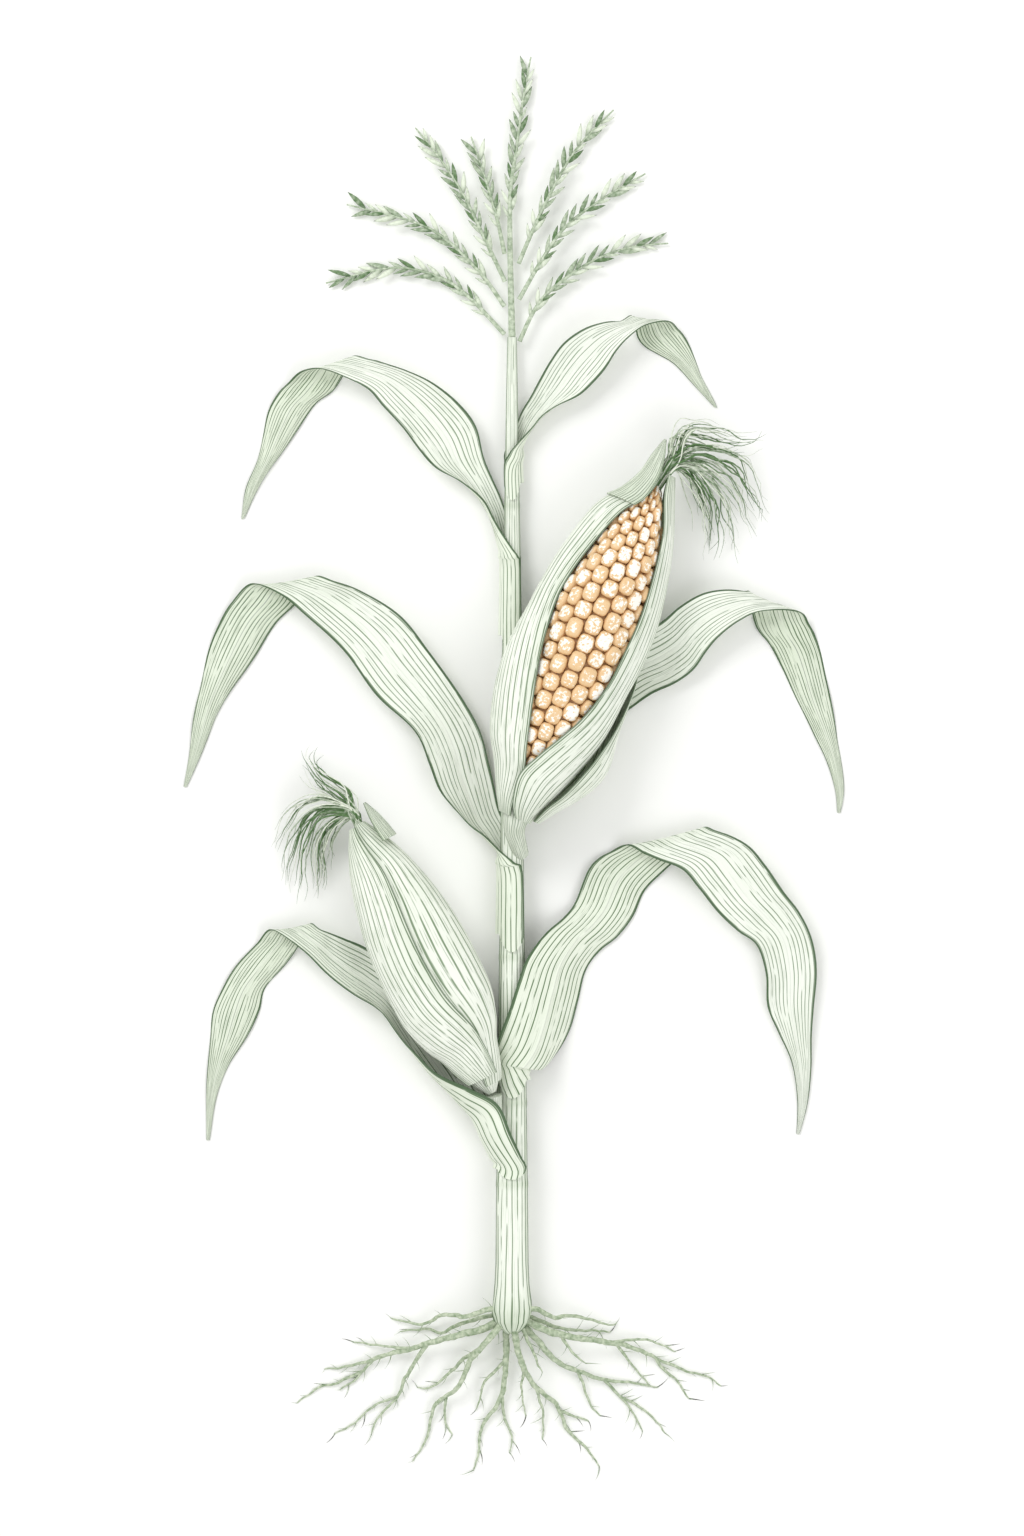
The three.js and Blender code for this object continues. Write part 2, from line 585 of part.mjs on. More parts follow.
const lowerSilk = [
  [[-158, 497, 50], [-189, 509, 42], [-214, 501, 28], [-223, 490, 18], [-246, 449, 5]],
  [[-158, 497, 50], [-192, 498, 38], [-212, 480, 26], [-222, 450, 12], [-228, 419, 5]],
  [[-160, 495, 49], [-188, 493, 36], [-203, 468, 26], [-208, 440, 13], [-209, 405, 5]],
  [[-160, 495, 49], [-184, 484, 32], [-194, 462, 22], [-193, 440, 12], [-195, 414, 5]],
  [[-161, 493, 48], [-179, 478, 28], [-186, 455, 18], [-185, 436, 10], [-187, 418, 5]],
  [[-158, 497, 50], [-162, 516, 40], [-188, 532, 26], [-198, 546, 14], [-192, 555, 6]],
  [[-158, 497, 50], [-178, 514, 38], [-199, 527, 24], [-212, 548, 8]],
];

const silkSolid = (strands) => join(strands.map((points) => taperedTube(points, 4.2, 1.1, 4, 6)));

// Tassel branches: [foot x, foot y from the tassel's foot, ...], then points x, y, z to the tip.
const BRANCHES = [
  [[-7.5, 3, 12], [-46, 43, 12], [-79, 63, 9], [-123, 70, 6], [-187, 55, 4]],
  [[-7.5, 31, 12], [-33, 66, 14], [-69, 100, 14], [-102, 117, 10], [-166, 134, 4]],
  [[-7, 56, 11], [-28, 100, 15], [-49, 143, 15], [-72, 179, 10], [-97, 211, 4]],
  [[-7.5, 84, 10], [-16, 123, 10], [-28, 163, 8], [-41, 202, 5]],
  [[6.5, 74, 10], [23, 112, 13], [43, 153, 13], [66, 191, 9], [102, 229, 4]],
  [[7, 38, 11], [28, 74, 16], [53, 110, 14], [89, 138, 9], [134, 165, 4]],
  [[7.5, -4, 12], [23, 28, 12], [43, 51, 12], [81, 77, 8], [120, 91, 6], [157, 95, 4]],
];

/** A spikelet: a pointed spindle from its foot, leaning away from the stem it grows on. */
function spikelet(foot, direction, length, radius) {
  const side = V(direction.y, -direction.x, 0).normalize();
  const up = side.clone().cross(direction);
  const ring = Array.from({ length: 4 }, (_, k) => {
    const turn = Math.PI * k / 2;
    return foot.clone().addScaledVector(direction, length * 0.45)
      .addScaledVector(side, radius * Math.cos(turn)).addScaledVector(up, radius * Math.sin(turn));
  });
  const points = [...ring, foot, foot.clone().addScaledVector(direction, length)];
  const triangles = [];
  for (let k = 0; k < 4; k += 1) {
    triangles.push([k, (k + 1) % 4, 4], [(k + 1) % 4, k, 5]);
  }
  return meshGeometry(points, triangles);
}

/** A stem of the tassel with spikelets left and right of it, from `bare` mm along it to its tip. */
function tasselStem(points, radius, bare) {
  const curve = new THREE.CatmullRomCurve3(points.map((p) => V(...p)), false, 'centripetal');
  const length = curve.getLength();
  const pieces = [taperedTube(points, radius, TASSEL.tipRadius, 6, 8)];
  let side = 1;
  for (let s = bare; s < length - 4; s += TASSEL.spikeletPitch) {
    const foot = curve.getPointAt(s / length);
    const along = curve.getTangentAt(s / length);
    const out = V(along.y, -along.x, 0).multiplyScalar(side);
    const direction = along.clone().addScaledVector(out, 0.42).normalize();
    foot.addScaledVector(direction, 0.8);
    pieces.push(spikelet(foot, direction, TASSEL.spikeletLength, TASSEL.spikeletRadius));
    side = -side;
  }
  return join(pieces);
}

// Roots: the main root first, then its side roots; points x, y, z in the plant frame.
const ROOTS = [
  [3.2, [[-8, -3, 30], [-24, -1, 31], [-44, -9, 25], [-68, -8, 16], [-91, -18, 7], [-122, -13, 1.2]]],
  [2.6, [[-8, -8, 18], [-27, -10, 17], [-56, -19, 10], [-71, -28, 6], [-85, -24, 3], [-112, -26, 1.2]]],
  [4.2, [[-8, -10, 26], [-30, -22, 24], [-68, -32, 17], [-106, -44, 10], [-138, -53, 5],
    [-156, -73, 2.5], [-173, -85, 1]],
    [2, [[-128, -50, 6.5], [-160, -60, 4], [-188, -64, 1]]],
    [1.7, [[-102, -42, 11], [-130, -41, 6], [-159, -37, 1]]],
    [1.7, [[-150, -66, 3.3], [-175, -77, 2.2], [-194, -82, 1.4], [-216, -98, 1]]],
    [2.4, [[-84, -36, 14], [-106, -69, 8], [-115, -92, 4], [-135, -113, 2], [-141, -129, 1]]],
    [1.4, [[-116, -92, 3.6], [-138, -100, 2.2], [-156, -116, 1.5], [-177, -129, 1]]]],
  [3.6, [[-6, -12, 30], [-21, -28, 33], [-41, -54, 22], [-56, -83, 12], [-77, -101, 6],
    [-87, -136, 2], [-100, -157, 1]],
    [1.6, [[-66, -92, 9], [-67, -115, 3.5], [-60, -130, 1]]]],
  [3, [[-8, -14, 18], [-27, -36, 15], [-56, -61, 7], [-79, -81, 3], [-95, -83, 1.2]]],
  [3.8, [[-3, -10, 22], [-6, -24, 20], [-6, -60, 12], [-12, -95, 6], [-30, -122, 3],
    [-34, -148, 2], [-39, -166, 1]],
    [1.8, [[-10, -88, 7], [-7, -113, 4], [0, -136, 2], [-3, -148, 1]]],
    [2, [[-6, -54, 13.5], [-27, -76, 8], [-31, -92, 4], [-35, -104, 1]]]],
  [3.8, [[4, -10, 30], [3, -25, 32], [11, -60, 20], [26, -83, 12], [44, -98, 7],
    [55, -124, 3], [76, -145, 2], [88, -161, 1]],
    [1.6, [[49, -106, 5.5], [66, -112, 2.5], [77, -117, 1]]],
    [1.7, [[23, -78, 14], [31, -108, 6], [31, -135, 1]]],
    [1.5, [[12, -62, 19], [10, -88, 9], [14, -110, 1]]]],
  [3, [[8, -2, 30], [24, -1, 31], [41, -9, 25], [64, -9, 17], [97, -19, 6], [105, -17, 1.5]]],
  [2.6, [[8, -6, 20], [32, -16, 16], [61, -24, 9], [99, -26, 1.2]]],
  [4.2, [[8, -10, 26], [41, -25, 24], [76, -32, 19], [111, -39, 12], [141, -50, 6],
    [152, -64, 4], [167, -78, 2], [178, -94, 1]],
    [1.7, [[144, -53, 5.6], [176, -66, 3], [192, -70, 1.6], [210, -80, 1]]],
    [1.7, [[98, -36, 15], [135, -34, 7], [163, -47, 1]]],
    [1.7, [[104, -37, 13.5], [123, -63, 5], [138, -79, 1]]],
    [2, [[48, -26, 23], [61, -46, 18], [74, -57, 15]]]],
  [3.6, [[6, -12, 20], [26, -34, 17], [47, -57, 11], [76, -69, 7], [97, -75, 4], [146, -82, 1]],
    [1.8, [[66, -65, 8.5], [78, -98, 3], [89, -111, 1]]],
    [1.8, [[92, -74, 5], [115, -98, 3], [131, -125, 1]]],
    [1.5, [[108, -91, 3.2], [135, -107, 1.8], [154, -128, 1]]]],
  [2.4, [[8, -14, 26], [17, -36, 25], [24, -52, 20], [30, -66, 16]]],
];

function rootSolid([radius, points, ...branches]) {
  const pieces = [taperedTube(points, radius, ROOT_TIP_RADIUS, ROOT_SIDES, 2 * (points.length - 1))];
  for (const [branchRadius, path] of branches) {
    pieces.push(taperedTube(path, branchRadius, ROOT_TIP_RADIUS * 0.9, 5, 2 * (path.length - 1)));
  }
  return cutAway(join(pieces), stalkBlank(GAP));
}

// ---------------------------------------------------------------- the plant
const FINISHES = {
  stalk: [0xb9c79f, 0.55], leaf: [0x9db283, 0.6], husk: [0xb4c79b, 0.62], kernel: [0xf0dfba, 0.35],
  silk: [0xc9cfae, 0.6], tassel: [0xb3bd93, 0.7], root: [0xc3c4a4, 0.8],
};

const plant = new THREE.Group();

function addPiece(name, geometry, finish) {
  const [color, roughness] = FINISHES[finish];
  const material = new THREE.MeshStandardMaterial({ color, roughness, metalness: 0, side: THREE.DoubleSide });
  const mesh = new THREE.Mesh(geometry, material);
  mesh.name = name;
  plant.add(mesh);
}

function addUpperEar() {
  const foot = V(UPPER_EAR.shankFootX, UPPER_EAR.shankFootY, stalkHeight(UPPER_EAR.shankFootY) + 4);
  const top = upper(-2, 2, -3);
  const bend = V(top.x - 1, foot.y + 22, (foot.z + top.z) / 2 + 7);
  const { shankRadius } = UPPER_EAR;
  const shank = tubeSolid([foot, bend, top], [shankRadius * 0.8, shankRadius, shankRadius], 12);
  addPiece('upper_ear_shank', cutAway(shank, stalkBlank(GAP)), 'husk');
  addPiece('upper_ear_cob', cobSolid(), 'kernel');
  for (const [name, [side, rows]] of Object.entries(upperHusks)) {
    const swell = UPPER_EAR.cobRadius / HUSKS_FIT_RADIUS;
    addPiece(`upper_ear_${name}`, huskSolid(upper, rows, side, 9, swell), 'husk');
  }
  addPiece('upper_ear_husk_back', huskSolid(upper, backHuskRows(), 1), 'husk');
  addPiece('upper_ear_silk', silkSolid(upperSilk), 'silk');
}

function addLowerEar() {
  const foot = V(-6, LOWER_EAR.shankFootY, stalkHeight(LOWER_EAR.shankFootY) + 8);
  const top = lower(-0.05 * LOWER_EAR.length, 0, 0);
  const bend = V(-15, LOWER_EAR.shankFootY + 20, 43);
  const { shankRadius } = LOWER_EAR;
  const shank = tubeSolid([foot, bend, top], [shankRadius * 0.9, shankRadius, shankRadius], 12);
  addPiece('lower_ear_shank', cutAway(shank, stalkBlank(GAP)), 'husk');
  addPiece('lower_ear_body', lowerEarBody(), 'husk');
  for (const [name, [layer, rows]] of Object.entries(lowerHusks)) {
    addPiece(`lower_ear_${name}`, wrapHusk(layer, rows, name === 'husk_left' ? 7 : 11), 'husk');
  }
  const tipRows = [
    [262, 15, 22, 28.5, -5, 6], [276, 13.5, 18, 26, -4, 4.5], [290, 13, 12, 22, -3, 3], [304, 14, 5, 16, 1, 0.5],
  ];
  addPiece('lower_ear_husk_tip', huskSolid(lower, tipRows, 1, 7), 'husk');
  addPiece('lower_ear_silk', silkSolid(lowerSilk), 'silk');
}

function addTassel() {
  const foot = STALK_LENGTH;
  const spike = [
    [0, foot + GAP, STALK.topHeight], [-2, foot + 133, 10], [5, foot + 194, 9],
    [12, foot + 245, 8], [19, foot + TASSEL.spikeLength, TASSEL.tipHeight],
  ];
  addPiece('tassel_spike', tasselStem(spike, TASSEL.spikeRadius, TASSEL.bareSpike), 'tassel');
  BRANCHES.forEach((points, i) => {
    const path = points.map(([x, y, z]) => [x, foot + y, z]);
    addPiece(`tassel_branch_${i + 1}`, tasselStem(path, TASSEL.branchRadius, TASSEL.bareBranch), 'tassel');
  });
}

addPiece('stalk', stalkBlank(0), 'stalk');
LEAVES.forEach((leaf) => addPiece(leaf.name, leafSolid(leaf), 'leaf'));
addUpperEar();
addLowerEar();
addTassel();
ROOTS.forEach((root, i) => addPiece(`root_${String(i + 1).padStart(2, '0')}`, rootSolid(root), 'root'));

// The origin is under the middle of the plant, on the surface that it lies on.
const box = new THREE.Box3().setFromObject(plant);
plant.position.set(-(box.min.x + box.max.x) / 2, -(box.min.y + box.max.y) / 2, -box.min.z);
const part = new THREE.Group();
part.add(plant);

export default part;
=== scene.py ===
"""A corn plant pulled up with its roots and lying on a flat surface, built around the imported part.

The plant frame has x = 0 on the stalk, y = 0 where the soil met the stalk and z = 0 on the surface.
Tables are in millimetres in that frame, and meshes are in metres in the part's own frame.
"""

import logging
import math
from dataclasses import dataclass, field
from enum import Enum
from typing import Callable, Mapping, Sequence, Union

import bpy
import numpy as np
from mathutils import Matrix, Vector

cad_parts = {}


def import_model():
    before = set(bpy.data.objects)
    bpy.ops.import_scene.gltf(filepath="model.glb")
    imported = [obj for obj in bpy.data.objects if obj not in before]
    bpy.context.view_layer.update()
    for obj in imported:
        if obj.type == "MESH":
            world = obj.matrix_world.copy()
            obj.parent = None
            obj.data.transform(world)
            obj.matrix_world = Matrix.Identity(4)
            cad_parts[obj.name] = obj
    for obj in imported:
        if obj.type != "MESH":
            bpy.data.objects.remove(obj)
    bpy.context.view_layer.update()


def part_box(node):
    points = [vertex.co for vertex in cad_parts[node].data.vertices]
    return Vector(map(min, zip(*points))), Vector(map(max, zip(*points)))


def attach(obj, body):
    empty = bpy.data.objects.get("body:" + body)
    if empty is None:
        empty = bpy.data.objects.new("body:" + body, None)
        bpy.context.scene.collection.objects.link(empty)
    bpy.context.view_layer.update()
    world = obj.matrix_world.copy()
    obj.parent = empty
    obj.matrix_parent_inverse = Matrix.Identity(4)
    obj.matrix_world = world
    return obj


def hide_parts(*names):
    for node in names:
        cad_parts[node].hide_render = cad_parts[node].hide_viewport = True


LOG = logging.getLogger("corn_plant")
MM = 0.001
SEED = 11

Colour = tuple[float, float, float]
Table = Sequence[Sequence[float]]
Span = tuple[float, float]


class Side(Enum):
    """The side of the stalk that a leaf or a husk grows to."""

    LEFT = -1
    RIGHT = 1


class Facing(Enum):
    """Which way a sheet's upper face looks; its other face, the underside, gets painted shade."""

    BULGE_UNDER = 1
    BULGE_OVER = -1


# ------------------------------------------------------------------ colours


def ink(red: int, green: int, blue: int) -> Colour:
    """Turns a colour on the 0 to 255 screen scale into scene-linear light."""
    channels = []
    for channel in (red, green, blue):
        share = channel / 255
        channels.append(share / 12.92 if share <= 0.04045 else ((share + 0.055) / 1.055) ** 2.4)
    return (channels[0], channels[1], channels[2])


PALE_LEAF = ink(243, 247, 237)
# The leaf's underside in painted shade.
SHADED_UNDERSIDE_LEAF = ink(236, 242, 227)
SHADED_LEAF = ink(214, 224, 203)
VEIN_GREEN = ink(88, 121, 74)
# The green that painted shade mixes towards; the stalk's darker crown and joints mix towards it too.
SOFT_GREEN = ink(158, 179, 140)
DEEP_GREEN = ink(62, 92, 56)
PALE_HUSK = ink(241, 245, 234)
PALE_STALK = ink(240, 245, 233)
# Painted highlight on the kernels' crowns.
HIGHLIGHT_WHITE = ink(255, 251, 241)
KERNEL_TAN = ink(234, 200, 152)
# Painted shade low on the kernels and between them, and random flecks on them.
SHADE_AND_FLECK_TAN = ink(222, 176, 120)
PALE_SILK = ink(236, 241, 226)
PALE_ROOT = ink(222, 229, 207)
PALE_TASSEL = ink(228, 236, 217)
FLOOR_WHITE = ink(250, 250, 248)


# ------------------------------------------------------------------ node graphs


class Wire:
    """A node's output socket. Python's operators on it add Math nodes."""

    def __init__(self, graph: "Graph", socket: bpy.types.NodeSocket) -> None:
        """Keeps the graph and the socket that this stands for."""
        self.graph = graph
        self.socket = socket

    def _math(self, operation: str, first: "Feed", second: "Feed" = 0.0) -> "Wire":
        """Adds one Math node."""
        return self.graph.node("ShaderNodeMath", {"operation": operation}, {0: first, 1: second})

    def __add__(self, other: "Feed") -> "Wire":
        """Sum."""
        return self._math("ADD", self, other)

    def __radd__(self, other: "Feed") -> "Wire":
        """Sum, with the number first."""
        return self._math("ADD", other, self)

    def __sub__(self, other: "Feed") -> "Wire":
        """Difference."""
        return self._math("SUBTRACT", self, other)

    def __rsub__(self, other: "Feed") -> "Wire":
        """Difference, with the number first."""
        return self._math("SUBTRACT", other, self)

    def __mul__(self, other: "Feed") -> "Wire":
        """Product."""
        return self._math("MULTIPLY", self, other)

    def __rmul__(self, other: "Feed") -> "Wire":
        """Product, with the number first."""
        return self._math("MULTIPLY", other, self)

    def __truediv__(self, other: "Feed") -> "Wire":
        """Quotient."""
        return self._math("DIVIDE", self, other)

    def __pow__(self, other: "Feed") -> "Wire":
        """Power."""
        return self._math("POWER", self, other)

    def __abs__(self) -> "Wire":
        """Distance from zero."""
        return self._math("ABSOLUTE", self)

    def fraction(self) -> "Wire":
        """The part after the decimal point."""
        return self._math("FRACT", self)

    def floor(self) -> "Wire":
        """The whole number below."""
        return self._math("FLOOR", self)

    def most(self, other: "Feed") -> "Wire":
        """The larger of the two."""
        return self._math("MAXIMUM", self, other)

    def modulo(self, other: "Feed") -> "Wire":
        """The remainder of a division."""
        return self._math("MODULO", self, other)

    def ease(self, low: float, high: float) -> "Wire":
        """A soft step from 0 at the low value to 1 at the high one."""
        return self.graph.node(
            "ShaderNodeMapRange",
            {"interpolation_type": "SMOOTHSTEP"},
            {"Value": self, "From Min": low, "From Max": high, "To Min": 0.0, "To Max": 1.0},
        )


Feed = Union[Wire, float, int, bool, str, Colour, bpy.types.ID]


class Graph:
    """A node tree that is built with one method."""

    def __init__(self, tree: bpy.types.NodeTree) -> None:
        """Starts on a tree.

        Args:
            tree: the shader or geometry tree that the nodes go into.
        """
        self.tree = tree

    def node(
        self,
        kind: str,
        settings: Mapping[str, object] | None = None,
        feeds: Mapping[int | str, Feed] | None = None,
        output: int | str = 0,
    ) -> Wire:
        """Adds a node, sets it up and feeds its sockets.

        Args:
            kind: the node's type.
            settings: attributes of the node, set before its sockets are fed.
            feeds: values or wires by the name or number of the input socket.
            output: the name or number of the output that is returned.

        Returns:
            The chosen output.
        """
        made = self.tree.nodes.new(kind)
        for key, value in (settings or {}).items():
            setattr(made, key, value)
        for key, value in (feeds or {}).items():
            socket = made.inputs[key]
            if isinstance(value, Wire):
                self.tree.links.new(value.socket, socket)
            elif isinstance(value, tuple) and len(value) == 3 and socket.type == "RGBA":
                socket.default_value = (*value, 1.0)
            else:
                socket.default_value = value
        return Wire(self, made.outputs[output]) if made.outputs else Wire(self, made.inputs[0])

    def noise(self, at: Wire, scale: float, detail: float = 2.0, dimensions: str = "3D") -> Wire:
        """Smooth noise about 0.5.

        Args:
            at: where it is read.
            scale: how many features fit in one unit.
            detail: octaves.
            dimensions: how many of the coordinates count.

        Returns:
            The noise value.
        """
        feeds = {"Vector": at, "Scale": scale, "Detail": detail, "Roughness": 0.55}
        return self.node("ShaderNodeTexNoise", {"noise_dimensions": dimensions}, feeds)

    def vector(self, x: Feed, y: Feed, z: Feed = 0.0) -> Wire:
        """Puts three numbers into one vector."""
        return self.node("ShaderNodeCombineXYZ", None, {0: x, 1: y, 2: z})

    def vector_math(self, operation: str, first: Feed, second: Feed = (0.0, 0.0, 0.0)) -> Wire:
        """Adds one Vector Math node for two vectors."""
        return self.node("ShaderNodeVectorMath", {"operation": operation}, {0: first, 1: second})

    def scaled(self, vector: Feed, factor: Feed) -> Wire:
        """A vector times a number."""
        return self.node("ShaderNodeVectorMath", {"operation": "SCALE"}, {0: vector, "Scale": factor})

    def split(self, vector: Wire) -> list[Wire]:
        """A vector's three numbers."""
        first = self.node("ShaderNodeSeparateXYZ", None, {0: vector})
        return [Wire(self, output) for output in first.socket.node.outputs]


class Dye(Graph):
    """A material's shader tree."""

    def __init__(self, name: str) -> None:
        """Makes the material.

        Args:
            name: the material's name.
        """
        self.material = bpy.data.materials.new(name)
        self.material.use_nodes = True
        super().__init__(self.material.node_tree)
        self.shader = self.tree.nodes["Principled BSDF"]

    def strip(self) -> tuple[Wire, Wire]:
        """Reads the piece's own UV map.

        Returns:
            The share across the strip, and the metres along it.
        """
        across, along, _ = self.split(self.node("ShaderNodeUVMap", {"uv_map": "strip"}))
        return across, along

    def place(self) -> Wire:
        """Reads Object coordinates."""
        return self.node("ShaderNodeTexCoord", None, None, "Object")

    def attribute(self, name: str) -> Wire:
        """Reads a number that the mesh carries."""
        return self.node("ShaderNodeAttribute", {"attribute_name": name}, None, "Fac")

    def mix(self, share: Feed, first: Feed, second: Feed) -> Wire:
        """Mixes two colours.

        Args:
            share: 0 for the first colour, 1 for the second.
            first: the colour at 0.
            second: the colour at 1.

        Returns:
            The mixed colour.
        """
        return self.node("ShaderNodeMix", {"data_type": "RGBA"}, {0: share, 6: first, 7: second}, 2)

    def lines(self, across: Wire, along: Wire, count: float, width: float, breaks: float) -> Wire:
        """Fine lines that run along a strip, each fading in and out.

        Args:
            across: share across the strip.
            along: metres along the strip.
            count: how many lines fit across.
            width: width of a line as a share of the distance between two.
            breaks: how much of each line fades, from 0 to 1.

        Returns:
            1 on a line, 0 between lines.
        """
        sway = self.noise(self.vector(across * 4.0, along * 9.0), 1.0, 1.0) - 0.5
        scaled = across * count + sway * 0.9
        distance = abs(scaled.fraction() - 0.5) * 2.0
        swell = self.noise(self.vector(scaled.floor() * 3.7, along * 26.0), 1.0, 2.0)
        line = 1.0 - (distance / (swell + 0.5)).ease(width * 0.4, width)
        presence = swell.ease(0.28 + 0.22 * breaks, 0.34 + 0.3 * breaks)
        return line * presence

    def finish(
        self, colour: Feed, roughness: Feed, relief: Wire | None, depth: float, **fixed: float
    ) -> bpy.types.Material:
        """Feeds the shader.

        Args:
            colour: base colour.
            roughness: roughness.
            relief: height for the bump, from 0 to 1, or None for a smooth surface.
            depth: the bump's depth in metres.
            fixed: values of the shader's other sockets, by name with underscores for spaces.

        Returns:
            The material.
        """
        for name, feed in (("Base Color", colour), ("Roughness", roughness)):
            if isinstance(feed, Wire):
                self.tree.links.new(feed.socket, self.shader.inputs[name])
            else:
                self.shader.inputs[name].default_value = (*feed, 1.0) if isinstance(feed, tuple) else feed
        if relief is not None:
            bump = self.node("ShaderNodeBump", None, {"Height": relief, "Distance": depth, "Strength": 0.8})
            self.tree.links.new(bump.socket, self.shader.inputs["Normal"])
        for name, value in fixed.items():
            self.shader.inputs[name.replace("_", " ")].default_value = value
        return self.material


class Growth(Graph):
    """A Geometry Nodes tree, run once on a mesh to give a plain mesh."""

    KINDS = {
        float: "NodeSocketFloat",
        int: "NodeSocketInt",
        bpy.types.Object: "NodeSocketObject",
        bpy.types.Material: "NodeSocketMaterial",
    }

    def __init__(self, name: str, sizes: Mapping[str, object]) -> None:
        """Makes the tree with one named input for each size.

        Args:
            name: the tree's name.
            sizes: the inputs' names and the values that they get.
        """
        super().__init__(bpy.data.node_groups.new(name, "GeometryNodeTree"))
        self.sizes = dict(sizes)
        face = self.tree.interface
        face.new_socket("Geometry", in_out="OUTPUT", socket_type="NodeSocketGeometry")
        face.new_socket("Geometry", in_out="INPUT", socket_type="NodeSocketGeometry")
        self.identifiers = {}
        for key, value in self.sizes.items():
            made = face.new_socket(key, in_out="INPUT", socket_type=self.KINDS[type(value)])
            self.identifiers[key] = made.identifier
        self.entry = self.tree.nodes.new("NodeGroupInput")

    def given(self, key: str) -> Wire:
        """The tree's named input."""
        return Wire(self, self.entry.outputs[key])

    def named(self, attribute: str, data_type: str = "FLOAT") -> Wire:
        """Reads an attribute that the mesh carries."""
        return self.node("GeometryNodeInputNamedAttribute", {"data_type": data_type}, {"Name": attribute})

    def random(self, low: Feed, high: Feed, salt: int, owner: Wire | None = None) -> Wire:
        """A random number for each element.

        Args:
            low: smallest value.
            high: largest value.
            salt: added to the seed, so that two uses differ.
            owner: what the number belongs to, or None for the element itself.

        Returns:
            The random number.
        """
        vectors = isinstance(low, tuple)
        feeds: dict[int | str, Feed] = {0: low, 1: high} if vectors else {2: low, 3: high}
        feeds["Seed"] = SEED + salt
        if owner is not None:
            feeds["ID"] = owner
        kind = "FLOAT_VECTOR" if vectors else "FLOAT"
        return self.node("FunctionNodeRandomValue", {"data_type": kind}, feeds, 0 if vectors else 1)

    def aligned(self, vector: Feed, axis: str, start: Wire | None = None, pivot: str = "AUTO") -> Wire:
        """A rotation that brings an axis onto a direction.

        Args:
            vector: the direction.
            axis: the axis that turns onto it.
            start: a rotation to start from, or None.
            pivot: the axis that the turn is about.

        Returns:
            The rotation.
        """
        feeds: dict[int | str, Feed] = {"Vector": vector}
        if start is not None:
            feeds["Rotation"] = start
        return self.node("FunctionNodeAlignRotationToVector", {"axis": axis, "pivot_axis": pivot}, feeds)

    def turned(self, rotation: Wire, turn: Wire) -> Wire:
        """A rotation with a further turn in its own frame."""
        return self.node("FunctionNodeRotateRotation", {"rotation_space": "LOCAL"}, {0: rotation, 1: turn})

    def leaning(self, along: Wire, forward: float, sideways: Wire, rise: Wire) -> Wire:
        """A direction that leans away from a curve.

        Args:
            along: the curve's own direction.
            forward: how much of it is kept.
            sideways: how far it leans to the curve's side.
            rise: how far it leans up.

        Returns:
            The direction.
        """
        out = self.vector_math("CROSS_PRODUCT", along, (0.0, 0.0, 1.0))
        level = self.vector_math("ADD", self.scaled(along, forward), self.scaled(out, sideways))
        return self.vector_math("ADD", level, self.vector(0.0, 0.0, rise))

    def sway(self, at: Wire, scale: float, detail: float, reach: Wire) -> Wire:
        """A smooth offset that changes from place to place.

        Args:
            at: where it is read.
            scale: how many bends fit in one unit.
            detail: octaves.
            reach: its size.

        Returns:
            The offset.
        """
        feeds = {"Vector": at, "Scale": scale, "Detail": detail}
        noise = self.node("ShaderNodeTexNoise", None, feeds, "Color")
        return self.scaled(self.vector_math("SUBTRACT", noise, (0.5, 0.5, 0.5)), reach)

    def curve(self) -> Wire:
        """The lines that the tree starts from, as curves."""
        return self.node("GeometryNodeMeshToCurve", None, {0: self.given("Geometry")})

    def shape(self, key: str) -> Wire:
        """The mesh of an object that the tree is given."""
        return self.node("GeometryNodeObjectInfo", None, {"Object": self.given(key)}, "Geometry")

    def numbered(self, shape: Wire, name: str, value: Feed, domain: str = "POINT") -> Wire:
        """Writes a number that the material reads."""
        feeds = {0: shape, "Name": name, "Value": value}
        return self.node("GeometryNodeStoreNamedAttribute", {"data_type": "FLOAT", "domain": domain}, feeds)

    def above_ground(self, shape: Wire) -> Wire:
        """Keeps a shape's points over the surface that the plant lies on."""
        x, y, z = self.split(self.node("GeometryNodeInputPosition"))
        place = self.vector(x, y, z.most(self.given("Ground")))
        return self.node("GeometryNodeSetPosition", None, {0: shape, "Position": place})

    def spots(self, curve: Wire) -> tuple[Wire, Wire]:
        """Points along a curve, one for each length of the tree's Pitch.

        Args:
            curve: the curve.

        Returns:
            The points, and the curve's direction at each.
        """
        feeds = {"Curve": curve, "Length": self.given("Pitch")}
        points = self.node("GeometryNodeCurveToPoints", {"mode": "LENGTH"}, feeds, "Points")
        return points, Wire(self, points.socket.node.outputs["Tangent"])

    def set_out(self, points: Wire, shape: Wire, rotation: Wire, scale: Wire, **more: Feed) -> Wire:
        """Puts a copy of a shape on each point."""
        feeds = {"Points": points, "Instance": shape, "Rotation": rotation, "Scale": scale, **more}
        return self.node("GeometryNodeInstanceOnPoints", None, feeds)

    def joined(self, *shapes: Wire) -> Wire:
        """Several shapes as one."""
        join = self.tree.nodes.new("GeometryNodeJoinGeometry")
        for shape in shapes:
            self.tree.links.new(shape.socket, join.inputs[0])
        return Wire(self, join.outputs[0])

    def tube(self, curve: Wire, sides: int, radius: Wire) -> Wire:
        """A closed tube of changing radius along a curve."""
        ring = self.node("GeometryNodeCurvePrimitiveCircle", None, {"Resolution": sides, "Radius": 1.0})
        feeds = {"Curve": curve, "Profile Curve": ring, "Scale": radius, "Fill Caps": True}
        return self.node("GeometryNodeCurveToMesh", None, feeds)

